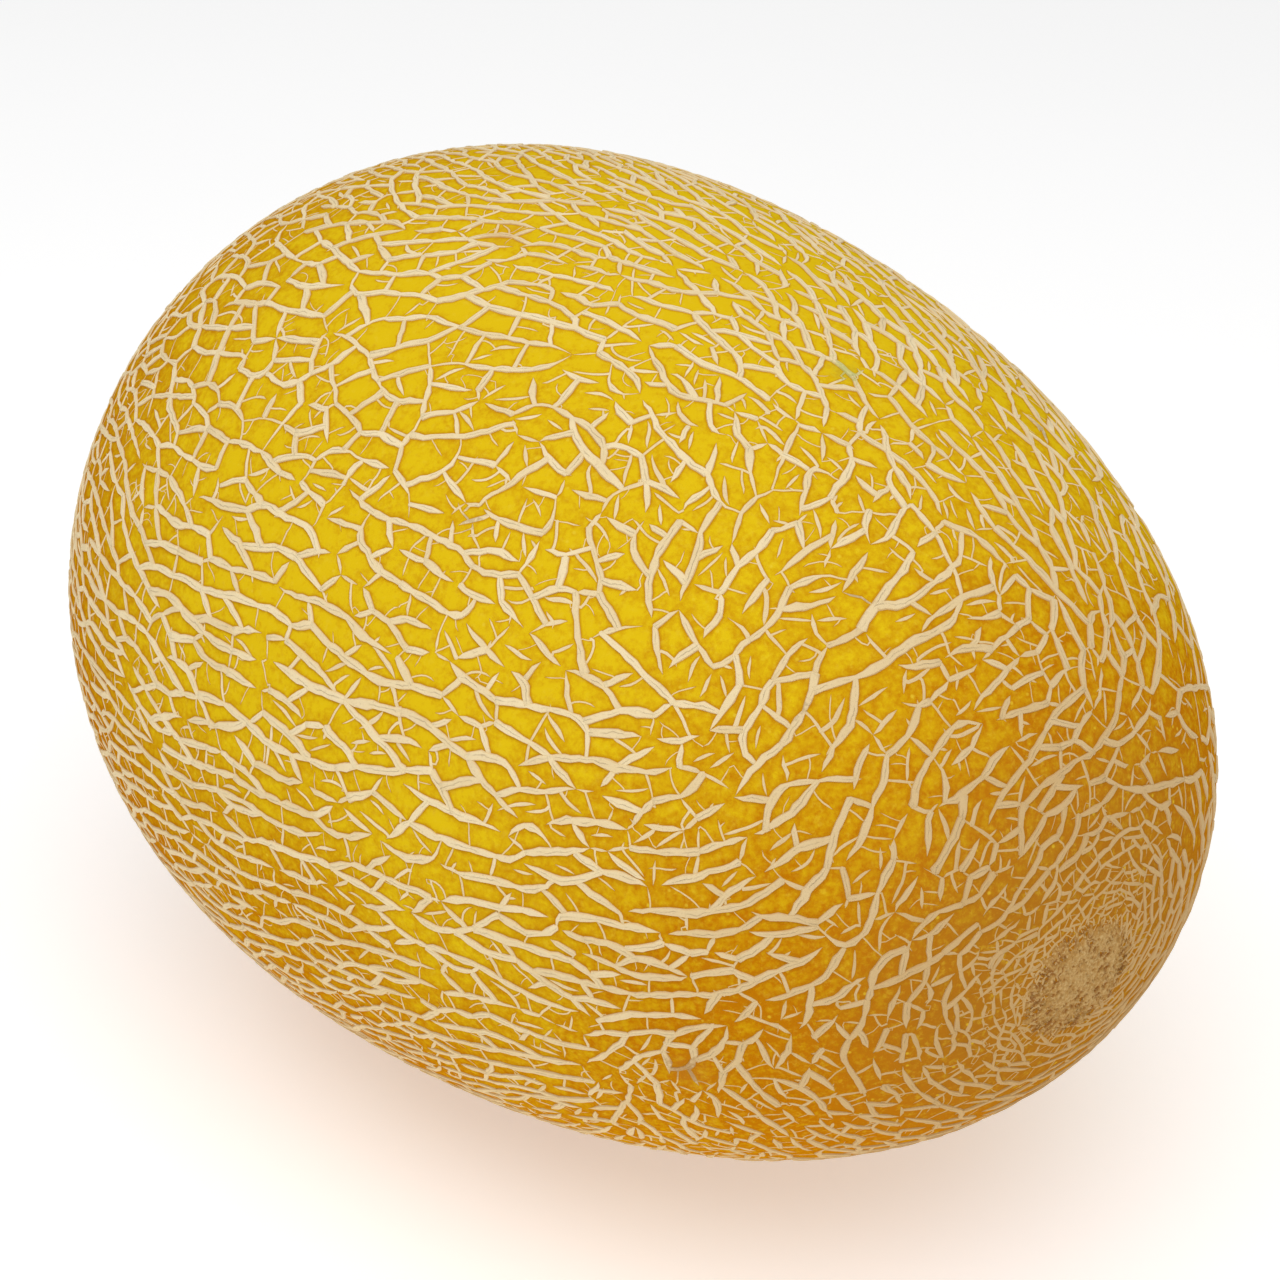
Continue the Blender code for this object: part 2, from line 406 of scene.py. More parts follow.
            # A patch starts as a square four spacings wide, and its neighbours cut it down.
            corners, borders = [(-2, -2), (2, -2), (2, 2), (-2, 2)], [-1, -2, -3, -4]
            for place, j, _ in tree.find_n(seed.place, NEIGHBOURS)[1:]:
                gap = place - seed.place
                pull = seed.pull(gap) + seeds[j].pull(gap)
                slope_u = seed.length * seed.along.dot(pull)
                slope_v = seed.width * seed.across.dot(pull)
                corners, borders = cut_outline(corners, borders, slope_u, slope_v, pull.dot(gap) / 2, j)
            places = [
                seed.place + seed.along * (u * seed.length) + seed.across * (v * seed.width)
                for u, v in corners
            ]
            cells.append((places, borders))
        return cells

    def join_cells(self, cells):
        """The patches' sides as one graph: places of the corners, and pairs of corner numbers."""
        sums, sides = {}, {}
        for i, (places, borders) in enumerate(cells):
            names = [tuple(sorted((i, borders[k - 1], borders[k]))) for k in range(len(borders))]
            for name, place in zip(names, places):
                total, count = sums.get(name, (Vector(), 0))
                sums[name] = (total + place, count + 1)
            for k, other in enumerate(borders):
                pair = (min(i, other), max(i, other))
                if other >= 0 and pair not in sides:
                    sides[pair] = (names[k], names[(k + 1) % len(names)])
        numbers = {name: number for number, name in enumerate(sums)}
        places = [self.settle(total / count)[0] for total, count in sums.values()]
        merged = list(range(len(places)))
        edges = [(numbers[first], numbers[second]) for first, second in sides.values()]
        for first, second in edges:
            gap = (places[first] - places[second]).length
            if gap < SHORTEST_SIDE * CELL_SPACING * self.room(places[first]):
                merged[max(first, second)] = merged[min(first, second)]
        edges = {(min(merged[a], merged[b]), max(merged[a], merged[b])) for a, b in edges}
        return places, sorted((a, b) for a, b in edges if a != b)

    def patch_sides(self):
        """The graph of the patches' sides, once each seed has moved towards its patch's middle."""
        seeds = self.scatter()
        middles = [sum(places, Vector()) / len(places) for places, _ in self.cut_cells(seeds)]
        moved = [seed.place.lerp(middle, 0.7) for seed, middle in zip(seeds, middles)]
        return self.join_cells(self.cut_cells([CellSeed(self, *self.settle(place)) for place in moved]))

    def chain_up(self, places, edges):
        """Pair the sides that run on into each other: the partner of each (corner, side), and open ends."""
        at_corner = {}
        for number, edge in enumerate(edges):
            for corner in edge:
                at_corner.setdefault(corner, []).append(number)
        partners, open_ends = {}, set()
        for corner, around in sorted(at_corner.items()):
            ways = {}
            for number in around:
                other = sum(edges[number]) - corner
                ways[number] = (places[other] - places[corner]).normalized()
            pairs = [
                (ways[a].dot(ways[b]) + PAIRING_CHANCE * self.rng.random(), a, b)
                for a in around
                for b in around
                if a < b
            ]
            if not pairs:
                open_ends.add((corner, around[0]))
                continue
            bend, first, second = min(pairs)
            if self.rng.random() < OPENING * self.looseness(places[corner]):
                loose = self.rng.choice((first, second))
                open_ends.add((corner, loose))
                others = [pair for pair in pairs if loose not in pair[1:] and pair[0] < SPARE_BEND]
                if not others:
                    continue
                bend, first, second = min(others)
            if bend < STRAIGHT_BEND and self.rng.random() < RUN_ON:
                partners[corner, first] = second
                partners[corner, second] = first
        return partners, open_ends

    def straighten(self, places, edges, partners):
        """Ease the corners along the lines that run on through them."""
        for _ in range(2):
            moved = {}
            for (corner, number), other in partners.items():
                ends = [sum(edges[side]) - corner for side in (number, other)]
                moved[corner] = (places[ends[0]] + places[ends[1]]) / 2
            for corner, target in moved.items():
                places[corner] = self.settle(places[corner].lerp(target, EASING))[0]

    def walk(self, edges, partners):
        """Runs of sides that follow on from each other, as lists of corners and lists of sides."""
        used, runs = set(), []
        for start in range(len(edges)):
            if start in used:
                continue
            corners, sides = list(edges[start]), [start]
            used.add(start)
            for _ in range(2):  # onwards from the one end, and then from the other
                while True:
                    following = partners.get((corners[-1], sides[-1]))
                    if following is None or following in used:
                        break
                    used.add(following)
                    sides.append(following)
                    corners.append(sum(edges[following]) - corners[-1])
                corners.reverse()
                sides.reverse()
            runs.append((corners, sides))
        return runs

    def side_width(self, first, second):
        """The half width of the line between two corners: wide along the grain, and thin across it."""
        place, normal = self.settle((first + second) / 2)
        way = (second - first).normalized()
        along = smooth_step(0.30, 0.92, abs(way.dot(self.grain(place, normal))))
        leaning = min(1.0, (self.stretch(place) - 1.0) / 1.1)
        strength = along * leaning + self.rng.uniform(0.25, 1.0) * (1 - leaning)
        width = LEAST_HALF + EXTRA_HALF * strength
        if strength < 0.55 and self.rng.random() < THIN_SHARE:
            width = self.rng.uniform(*THIN_HALF)
        return width * min(1.0, self.room(place)) ** 0.62

    def lay_cells(self):
        """The lines between the patches of rind."""
        places, edges = self.patch_sides()
        partners, open_ends = self.chain_up(places, edges)
        self.straighten(places, edges, partners)
        runs, touching, meeting = [], [0] * len(places), {}
        for corners, sides in self.walk(edges, partners):
            ends = ((corners[0], sides[0]), (corners[-1], sides[-1]))
            opened = [end in open_ends for end in ends]
            if len(sides) == 1 and self.rng.random() < self.looseness(places[corners[0]]):
                opened[self.rng.randrange(2)] = True
            runs.append((corners, opened))
            for corner in corners[1:-1]:
                touching[corner] += 2
            for (corner, side), is_open in zip(ends, opened):
                if not is_open:
                    touching[corner] += 1
                    way = places[sum(edges[side]) - corner] - places[corner]
                    meeting.setdefault(corner, []).append(way.normalized())
        sharp = {
            corner
            for corner, ways in meeting.items()
            if touching[corner] == 2 and len(ways) == 2 and ways[0].dot(ways[1]) > SHARP_BEND
        }
        for corners, opened in runs:
            halves = [self.side_width(places[a], places[b]) for a, b in zip(corners, corners[1:])]
            points, widths = self.draw_run([places[corner] for corner in corners], halves, opened)
            joined = [
                None if is_open or touching[corner] < 2 or corner in sharp else -1
                for corner, is_open in zip((corners[0], corners[-1]), opened)
            ]
            self.keep(points, widths, *joined, CELL_LINE)

    def draw_run(self, corners, halves, opened):
        """One run of cell sides as close points with half widths, drawn back from its open ends."""
        waists = [self.rng.uniform(0.50, 1.05) for _ in corners]
        points, widths = [corners[0]], [halves[0] * waists[0]]
        for i, (start, end) in enumerate(zip(corners, corners[1:])):
            count = max(1 if len(corners) > 2 else 3, round((end - start).length / POINT_GAP))
            before, after = halves[max(i - 1, 0)], halves[min(i + 1, len(halves) - 1)]
            for k in range(1, count + 1):
                share = k / count
                near = (before + halves[i]) / 2 if share < 0.5 else (after + halves[i]) / 2
                half = halves[i] + (near - halves[i]) * abs(2 * share - 1)
                waist = waists[i] if share < 0.5 else waists[i + 1]
                widths.append(half * (1 - (1 - waist) * abs(2 * share - 1) ** 1.5))
                points.append(start.lerp(end, share))
        sway = SWAY * min(1.0, 1.3 * self.room(points[0]))
        points = [point + noise.noise_vector(point / SWAY_LENGTH) * sway for point in points]
        for _ in range(2):
            eased = [(a + b * 2 + c) / 4 for a, b, c in zip(points, points[1:], points[2:])]
            points = [points[0]] + eased + [points[-1]]
        points = [points[0]] + [point + self.jitter(TREMOR) for point in points[1:-1]] + [points[-1]]
        for end in (0, -1):
            cut = self.rng.uniform(0.2, 1.0) if opened[end] else 0
            while len(points) > 4 and cut > 0:
                beside = points[1] if end == 0 else points[-2]
                cut -= (points[end] - beside).length
                points.pop(end)
                widths.pop(end)
        return [self.settle(point)[0] for point in points], widths

    def nearest(self, place, reach):
        """The nearest stored point within reach, as (distance, point, line number), or None."""
        best, limit = None, reach * reach
        for key in buckets_round(place, reach, LINE_BUCKET):
            for entry in self.buckets.get(key, ()):
                distance = (entry[0] - place).length_squared
                if distance < limit:
                    best, limit = entry, distance
        return best and (math.sqrt(limit),) + best

    def run(self, kind, place, normal, heading, reach, room, skip=None):
        """Grow one arm. Returns its points after the start, and the line it joined, if any."""
        points, curl = [], 0.0
        joins = self.rng.random() < kind.joins
        sense = kind.sense * min(1.0, room)
        for _ in range(max(2, round(reach / kind.step))):
            curl = 0.7 * curl + self.rng.gauss(0, kind.wander)
            heading = heading + normal.cross(heading) * curl
            found = self.nearest(place, sense)
            if found and found[2] != skip:
                distance, point, line = found
                distance = max(distance, 1e-6)
                gap = point - place
                ahead = gap.dot(heading) / distance / heading.length
                if joins and distance < 1.05 * kind.step:
                    points.append(point)
                    return points, line
                if joins and ahead > 0.1:  # drawn towards the line that it will join
                    heading += gap / distance * 0.35
                elif ahead > 0.3 and distance < 0.6 * sense:  # stopped short of a line
                    return points, None
                elif distance < 0.7 * sense:  # turned away from a line beside it
                    heading -= gap / distance * 0.15
            heading -= normal * heading.dot(normal)
            heading.normalize()
            place, normal = self.settle(place + heading * kind.step)
            points.append(place)
            skip = None if len(points) * kind.step > 2.0 else skip
        return points, None

    def turned(self, way, normal, kind):
        """A way turned to one side or the other, by as much as a kind of crack may be."""
        turn = math.radians(self.rng.uniform(*kind.turn)) * self.rng.choice((-1, 1))
        return way * math.cos(turn) + normal.cross(way) * math.sin(turn)

    def grow(self, kind):
        """Open lone cracks of one kind wherever there is room, each with two arms."""
        for _ in range(kind.tries):
            place, normal = self.anywhere()
            room = self.room(place)
            if self.rng.random() > 1.5 * self.looseness(place) or self.from_scar(place) < 5.5:
                continue
            if self.nearest(place, kind.gap * room**0.7):
                continue
            heading = self.turned(self.grain(place, normal), normal, kind)
            reach = self.rng.uniform(*kind.reach) * min(1.0, room) ** 0.6 / 2
            onward, joined_on = self.run(kind, place, normal, heading, reach, room)
            back, joined_back = self.run(kind, place, normal, -heading, reach, room)
            points = back[::-1] + [place] + onward
            if len(points) < 5:
                continue
            widest = 0.07 * kind.step * len(points)
            width = min(widest, self.rng.uniform(*kind.half_width) * min(1.0, room) ** 0.55)
            self.keep(points, [width] * len(points), joined_back, joined_on, kind)

    def sprout(self, kind, parents):
        """Open small cracks out of the sides of the lines already there."""
        for _ in range(kind.tries):
            parent = self.rng.randrange(parents)
            points, widths = self.lines[parent][:2]
            i = self.rng.randrange(1, len(points) - 1)
            place, normal = self.settle(points[i])
            side = normal.cross(points[i + 1] - points[i - 1]).normalized() * self.rng.choice((-1, 1))
            room = self.room(place)
            feeler = place + side * (widths[i] + kind.gap * 1.1 * room**0.7)
            if widths[i] < 0.15 or self.nearest(feeler, kind.gap * room**0.7):
                continue
            heading = self.turned(side, normal, kind)
            reach = widths[i] + self.rng.uniform(*kind.reach) * min(1.0, room) ** 0.5
            onward, joined = self.run(kind, place, normal, heading, reach, room, skip=parent)
            if len(onward) < 2:
                continue
            width = min(self.rng.uniform(*kind.half_width) * min(1.0, room) ** 0.4, widths[i] * 0.8)
            self.keep([points[i]] + onward, [width] * (len(onward) + 1), parent, joined, kind)

    def ray_out(self):
        """Fine lines that run out of the scar's rim into the net round it."""
        middle, normal = self.settle(self.scar)
        first = normal.orthogonal().normalized()
        second = normal.cross(first)
        for i in range(RAY.tries):
            turn = 2 * math.pi * (i + self.rng.uniform(-0.4, 0.4)) / RAY.tries
            outward = first * math.cos(turn) + second * math.sin(turn)
            place, upward = self.settle(middle + outward * self.rng.uniform(*RAY_START))
            reach = self.rng.uniform(*RAY.reach)
            onward, joined = self.run(RAY, place, upward, outward, reach, RAY_ROOM)
            if len(onward) < 2:
                continue
            width = self.rng.uniform(*RAY.half_width)
            self.keep([place] + onward, [width] * (len(onward) + 1), -1, joined, RAY)

    def keep(self, points, widths, joined_back, joined_on, kind):
        """Finish a line and store it where others can feel it. A free end has joined None."""
        widths = self.tapered(points, widths, joined_back, joined_on)
        points = list(points)
        if joined_on is not None:
            self.bury(points, widths, -1)
        if joined_back is not None:
            self.bury(points, widths, 0)
        for start, end in zip(points, points[1:]):
            for share in (0.0, 0.5, 1.0):
                point = start.lerp(end, share)
                self.buckets.setdefault(bucket(point, LINE_BUCKET), []).append((point, len(self.lines)))
        self.lines.append(NetLine(points, widths, kind, self.rng.random()))

    def tapered(self, points, widths, joined_back, joined_on):
        """Half widths that waver, run out to points at free ends and swell a little at joints."""
        along = [0.0]
        for start, end in zip(points, points[1:]):
            along.append(along[-1] + (end - start).length)
        total = along[-1]
        taper = max(0.7, min(total * 0.46, max(widths) * self.rng.uniform(4.5, 8)))
        slimness = (9.0, 0.13, 0.075)[(joined_back is None) + (joined_on is None)]
        shift = Vector([self.rng.uniform(-50, 50) for _ in range(3)])
        tapered = []
        for point, distance, half in zip(points, along, widths):
            half *= 1 + 0.24 * noise.noise(point / 1.9 + shift) + 0.34 * noise.noise(point / 4.5 + shift)
            for gone, joined in ((distance, joined_back), (total - distance, joined_on)):
                if joined is None:
                    half *= min(1.0, 0.03 + (gone / taper) ** 0.70)
                else:
                    half *= 0.78 + 0.22 * min(1.0, gone / 1.8) + 0.30 * math.exp(-gone / 0.45)
            tapered.append(min(half, slimness * total))
        return tapered

    def bury(self, points, widths, end):
        """Carry an end, 0 or -1, on into the line that it joins, with a rounded tip."""
        beside = points[1] if end == 0 else points[-2]
        onward = (points[end] - beside).normalized()
        tip = self.settle(points[end] + onward * widths[end] * 0.6)[0]
        spot = 0 if end == 0 else len(points)
        points.insert(spot, tip)
        widths.insert(spot, 0.04)


def grow_net(seed, cell_size):
    """The whole net, in millimetres from the fruit's middle."""
    growth = NetGrowth(seed, cell_size)
    growth.lay_cells()
    cell_lines = len(growth.lines)
    growth.grow(BLADE)
    growth.sprout(TWIG, cell_lines)
    growth.sprout(THORN, cell_lines)
    growth.sprout(HAIR, len(growth.lines))
    growth.ray_out()
    return growth.lines


# Nodes, for materials and for geometry alike.


class Wire:
    """A number's socket that takes part in sums. Each sum adds its Math node to the tree."""

    def __init__(self, board, socket):
        self.board = board
        self.socket = socket

    def math(self, operation, *values):
        """A Math node of this number and others, such as its cosine."""
        return self.board.calculate(operation, self, *values)

    def __add__(self, other):
        return self.math("ADD", other)

    def __radd__(self, other):
        return self.board.calculate("ADD", other, self)

    def __sub__(self, other):
        return self.math("SUBTRACT", other)

    def __rsub__(self, other):
        return self.board.calculate("SUBTRACT", other, self)

    def __mul__(self, other):
        return self.math("MULTIPLY", other)

    def __rmul__(self, other):
        return self.board.calculate("MULTIPLY", other, self)

    def __truediv__(self, other):
        return self.math("DIVIDE", other)

    def __pow__(self, other):
        return self.math("POWER", other)

    def __abs__(self):
        return self.math("ABSOLUTE")

    def least(self, other):
        return self.math("MINIMUM", other)

    def most(self, other):
        return self.math("MAXIMUM", other)

    def part(self, name):
        """Another output of the same node."""
        return Wire(self.board, self.socket.node.outputs[name])


class Board:
    """One node tree, and the only place that adds nodes to it."""

    def __init__(self, tree):
        self.tree = tree

    def fill(self, socket, value):
        """Link a socket to a wire, or set it to a value."""
        if isinstance(value, Wire):
            self.tree.links.new(value.socket, socket)
        else:
            socket.default_value = value

    def add(self, kind, settings=None, sockets=None, output=0):
        """A node of a kind, with its settings made first and then its sockets filled or linked."""
        node = self.tree.nodes.new(kind)
        for name, value in (settings or {}).items():
            setattr(node, name, value)
        for name, value in (sockets or {}).items():
            self.fill(node.inputs[name], value)
        return Wire(self, node.outputs[output]) if len(node.outputs) else None

    def calculate(self, operation, *values):
        return self.add("ShaderNodeMath", {"operation": operation}, dict(enumerate(values)))

    def vector(self, operation, *values, output=0):
        return self.add("ShaderNodeVectorMath", {"operation": operation}, dict(enumerate(values)), output)

    def scaled(self, vector, factor):
        """A vector made longer or shorter by a number."""
        return self.add("ShaderNodeVectorMath", {"operation": "SCALE"}, {0: vector, "Scale": factor})

    def distance(self, where, place):
        """How far a place is, in metres."""
        return self.vector("DISTANCE", where, tuple(place), output="Value")

    def combined(self, x, y, z):
        return self.add("ShaderNodeCombineXYZ", sockets={"X": x, "Y": y, "Z": z})

    def split(self, vector):
        """The three numbers of a vector."""
        x = self.add("ShaderNodeSeparateXYZ", sockets={0: vector})
        return x, x.part("Y"), x.part("Z")

    def rise(self, value, low, high, to_low=0.0, to_high=1.0):
        """A smooth change from to_low to to_high while value goes from low to high."""
        return self.add(
            "ShaderNodeMapRange",
            {"interpolation_type": "SMOOTHSTEP"},
            {"Value": value, "From Min": low, "From Max": high, "To Min": to_low, "To Max": to_high},
        )

    def fade(self, value, low, high):
        """1 where value is low, and 0 where it is high."""
        return 1 - self.rise(value, low, high)

    def speckle(self, where, scale, detail=3.0, roughness=0.5):
        """Noise of a scale, in waves per metre."""
        sockets = {"Vector": where, "Scale": scale, "Detail": detail, "Roughness": roughness}
        return self.add("ShaderNodeTexNoise", sockets=sockets)

    def attribute(self, name):
        """A named number of the surface."""
        return self.add("ShaderNodeAttribute", {"attribute_name": name}, output="Fac")

    def blend(self, share, first, second):
        """Two colours mixed by a share."""
        sockets = {0: share, 6: first, 7: second}
        return self.add("ShaderNodeMix", {"data_type": "RGBA"}, sockets, output=2)

    def coats(self, base, *layers):
        """A colour with others laid over it in turn, each as its share and its red, green and blue."""
        for share, tint in layers:
            base = self.blend(share, base, colour(tint))
        return base

    def named(self, name, kind="FLOAT"):
        """A named attribute of the geometry."""
        return self.add("GeometryNodeInputNamedAttribute", {"data_type": kind}, {"Name": name})

    def stored(self, geometry, name, value, kind="FLOAT"):
        """The geometry with a value stored on its points under a name."""
        settings = {"data_type": kind, "domain": "POINT"}
        sockets = {"Geometry": geometry, "Name": name, "Value": value}
        return self.add("GeometryNodeStoreNamedAttribute", settings, sockets)

    def positioned(self, geometry, **sockets):
        """The geometry moved to a Position or by an Offset."""
        return self.add("GeometryNodeSetPosition", sockets={"Geometry": geometry, **sockets})

    def above_floor(self, geometry, floor):
        """The geometry with whatever hangs below a height lifted to it."""
        height = self.split(self.add("GeometryNodeInputPosition"))[2]
        return self.positioned(geometry, Offset=self.combined(0.0, 0.0, (floor - height).most(0.0)))


def colour(values):
    return (*values, 1.0)


def new_material(name):
    """An empty material with its board, its shader and its Object coordinates."""
    material = bpy.data.materials.new(name)
    material.use_nodes = True
    tree = material.node_tree
    tree.nodes.clear()
    board = Board(tree)
    surface = board.add("ShaderNodeBsdfPrincipled")
    board.add("ShaderNodeOutputMaterial", sockets={"Surface": surface})
    where = board.add("ShaderNodeTexCoord", output="Object")
    return material, board, surface.socket.node, where


def feed(board, shader, **sockets):
    """Fill or link the shader's sockets; an underscore in a name stands for a space."""
    for name, value in sockets.items():
        board.fill(shader.inputs[name.replace("_", " ")], value)


def set_finish(board, shader, base, roughness, height, strength, depth, specular):
    """Give a shader its colour, its roughness, its bump and how strongly it mirrors."""
    bump = board.add("ShaderNodeBump", sockets={"Strength": strength, "Distance": depth, "Height": height})
    feed(board, shader, Base_Color=base, Roughness=roughness, Normal=bump, Specular_IOR_Level=specular)


# Geometry trees.

RIND_GRID = 98
RIND_FLOOR = 0.0003
NET_FLOOR = 0.00003


def new_geometry_tree(name, numbers, materials):
    """A geometry tree with a Geometry input, named numbers and named materials, and their wires."""
    tree = bpy.data.node_groups.new(name, "GeometryNodeTree")
    tree.interface.new_socket("Geometry", in_out="INPUT", socket_type="NodeSocketGeometry")
    for label, value in numbers.items():
        kind = "NodeSocketInt" if isinstance(value, int) else "NodeSocketFloat"
        tree.interface.new_socket(label, in_out="INPUT", socket_type=kind).default_value = value
    for label in materials:
        tree.interface.new_socket(label, in_out="INPUT", socket_type="NodeSocketMaterial")
    tree.interface.new_socket("Geometry", in_out="OUTPUT", socket_type="NodeSocketGeometry")
    board = Board(tree)
    start = board.add("NodeGroupInput").socket.node
    wires = {socket.name: Wire(board, socket) for socket in start.outputs if socket.name}
    return tree, board, wires


def end_geometry_tree(board, geometry, material_shares):
    """Shade smooth, realize instances, set each material on its share, and close the tree."""
    geometry = board.add("GeometryNodeSetShadeSmooth", sockets={"Geometry": geometry})
    geometry = board.add("GeometryNodeRealizeInstances", sockets={"Geometry": geometry})
    for share, material in material_shares:
        sockets = {"Geometry": geometry, "Material": material}
        if share is not None:
            sockets["Selection"] = share
        geometry = board.add("GeometryNodeSetMaterial", sockets=sockets)
    board.add("NodeGroupOutput", sockets={"Geometry": geometry})


def run_tree(name, source_mesh, tree, values):
    """Put a source mesh through a tree, and return the result as a plain mesh."""
    source = bpy.data.objects.new(name + "_source", source_mesh)
    bpy.context.scene.collection.objects.link(source)
    modifier = source.modifiers.new("Shape", "NODES")
    modifier.node_group = tree
    for item in tree.interface.items_tree:
        if item.in_out == "INPUT" and item.name in values:
            modifier[item.identifier] = values[item.name]
    bpy.context.view_layer.update()
    shaped = source.evaluated_get(bpy.context.evaluated_depsgraph_get())
    mesh = bpy.data.meshes.new_from_object(shaped)
    source.modifiers.remove(modifier)
    bpy.data.objects.remove(source)
    mesh.name = name
    return mesh


def rind_tree():
    """The skin: a cube's grid blown up by the fruit's rule, smooth by the net and full in its cells."""
    numbers = {
        "Grid": RIND_GRID,
        "Half length": HALF_LENGTH,
        "Girth radius": GIRTH_RADIUS,
        "Cell fullness": 0.00012,
        "Floor": RIND_FLOOR,
    }
    tree, board, wires = new_geometry_tree("Melon rind", numbers, ["Rind"])
    count = wires["Grid"]
    size = {"Size": (2, 2, 2), "Vertices X": count, "Vertices Y": count, "Vertices Z": count}
    cube = board.add("GeometryNodeMeshCube", sockets=size)
    corner = board.add("GeometryNodeInputPosition")
    even = board.vector("TANGENT", board.scaled(corner, math.pi / 4))
    x, y, z = board.split(board.vector("NORMALIZE", even))
    turn = z.math("ARCTAN2", y)
    oval = (turn * 2).math("COSINE") * OVAL
    lobes = (turn * 3 - 3 * LOBE_TURN).math("COSINE") * LOBES
    radius = wires["Girth radius"] * (x * x * (2 * SHOULDER) - x * TAPER + (1 - SHOULDER))
    radius = radius * (oval + lobes + 1)
    angle = (x * -0.99999).math("ARCCOSINE") / DIMPLE_SPREAD
    dimple = (angle * angle * -1).math("EXPONENT") * DIMPLE_DEPTH
    length = wires["Half length"] * x + dimple + MIDDLE.x
    place = board.combined(length, radius * y + MIDDLE.y, radius * z + MIDDLE.z)
    skin = board.positioned(cube, Position=place)
    near = board.add("GeometryNodeProximity", {"target_element": "EDGES"}, {0: wires["Geometry"]}, "Distance")
    skin = board.stored(skin, "net_distance", near)
    full = board.rise(board.named("net_distance"), 0.0009, 0.0030) * wires["Cell fullness"]
    skin = board.positioned(skin, Offset=board.scaled(board.add("GeometryNodeInputNormal"), full))
    end_geometry_tree(board, board.above_floor(skin, wires["Floor"]), [(None, wires["Rind"])])
    return tree


def cork_tree():
    """Each line as a flat-topped ragged strip of cork, with a thin band of darkened rind along both sides,
    partly the rind's own colour and partly painted shade.
    """
    numbers = {
        "Profile points": 7,
        "Rise": 0.52,
        "Shoulder": 0.80,
        "Raggedness": 0.22,
        "Stain and shade width": 0.00050,
        "Swell": 0.00003,
        "Floor": NET_FLOOR,
    }
    tree, board, wires = new_geometry_tree("Melon net", numbers, ["Cork", "Rind"])
    position = board.add("GeometryNodeInputPosition")
    upward = board.named("upward", "FLOAT_VECTOR")
    lines = board.stored(wires["Geometry"], "spine", position, "FLOAT_VECTOR")
    lines = board.add("GeometryNodeMeshToCurve", sockets={"Mesh": lines})
    lines = board.add("GeometryNodeSetCurveNormal", {"mode": "FREE"}, {"Curve": lines, "Normal": upward})
    # The profile starts as a short row of numbered points, and each takes its place from its number.
    count = wires["Profile points"]
    profile = board.add("GeometryNodeMeshLine", sockets={"Count": count, "Offset": (0.0, 0.0, 0.0)})
    rank = board.add("GeometryNodeInputIndex") - (count - 1) / 2
    profile = board.positioned(profile, Position=board.combined(0.0, rank, 0.0))
    profile = board.stored(profile, "rank", rank)
    profile = board.add("GeometryNodeMeshToCurve", sockets={"Mesh": profile})
    swept = {"Curve": lines, "Profile Curve": profile, "Scale": MM}
    net = board.add("GeometryNodeCurveToMesh", sockets=swept)

    # From the middle out: the top up to 1, the edge up to 2, and the band up to 3.
    half, side = board.named("half_width"), board.named("rank")
    lacking = 3 - (count - 1) / 2
    reach = abs(side) + abs(side).least(1.0) * lacking
    top, edge, band = reach.least(1.0), (reach - 1).most(0.0).least(1.0), (reach - 2).most(0.0)
    spine = board.named("spine", "FLOAT_VECTOR")
    aside = board.vector("NORMALIZE", board.vector("SUBTRACT", position, spine))
    ragged = (board.speckle(position, 620.0, detail=2.0) - 0.5) * 2 * wires["Raggedness"] + 1
    share = top * wires["Shoulder"] + edge * (1 - wires["Shoulder"])
    outward = share * half * ragged + band * wires["Stain and shade width"] * board.rise(half, 0.0, 0.0004, 0.25, 1.0)
    rise = half * wires["Rise"] * board.rise(half, 0.0002, 0.0008, 1.15, 0.90)
    height = rise * (1 - top * 0.10 - edge * 0.90) + wires["Swell"] * (edge - band * 1.3)
    place = board.vector("ADD", spine, board.scaled(aside, outward))
    place = board.vector("ADD", place, board.scaled(upward, height))
    net = board.positioned(net, Position=place)
    net = board.stored(net, "across", share + band)
    net = board.stored(net, "side", side.math("SIGN") * (share + band))
    # The band past the cork's edge takes the rind's finish, darkened there partly by painted shade.
    beyond = {0: board.named("across"), 1: 1.0}
    stain_and_shade_band = board.add("FunctionNodeCompare", {"data_type": "FLOAT", "operation": "GREATER_THAN"}, beyond)
    net = board.above_floor(net, wires["Floor"])
    end_geometry_tree(board, net, [(None, wires["Cork"]), (stain_and_shade_band, wires["Rind"])])
    return tree


def add_numbers(mesh, name, values):
    """Store a number for each point of a mesh under a name."""
    mesh.attributes.new(name, "FLOAT", "POINT").data.foreach_set("value", values)


def line_mesh(name, lines):
    """Net lines as a mesh of edges that carries each point's half width, outward normal and tone."""
    points = [point for line in lines for point in line.points]
    directions = np.array([sphere_direction(point * MM) for point in points])
    edges, first = [], 0
    for line in lines:
        count = len(line.points)
        edges += [(first + i, first + i + 1) for i in range(count - 1)]
        first += count
    mesh = bpy.data.meshes.new(name)
    mesh.from_pydata(rind_points(directions).tolist(), edges, [])
    add_numbers(mesh, "half_width", [width * MM for line in lines for width in line.widths])
    add_numbers(mesh, "tone", [line.tone for line in lines for _ in line.points])
    upward = mesh.attributes.new("upward", "FLOAT_VECTOR", "POINT")
    upward.data.foreach_set("vector", rind_normals(directions).ravel())
    return mesh


# Materials. Scales are in waves per metre, and shares go from 0 to 1.

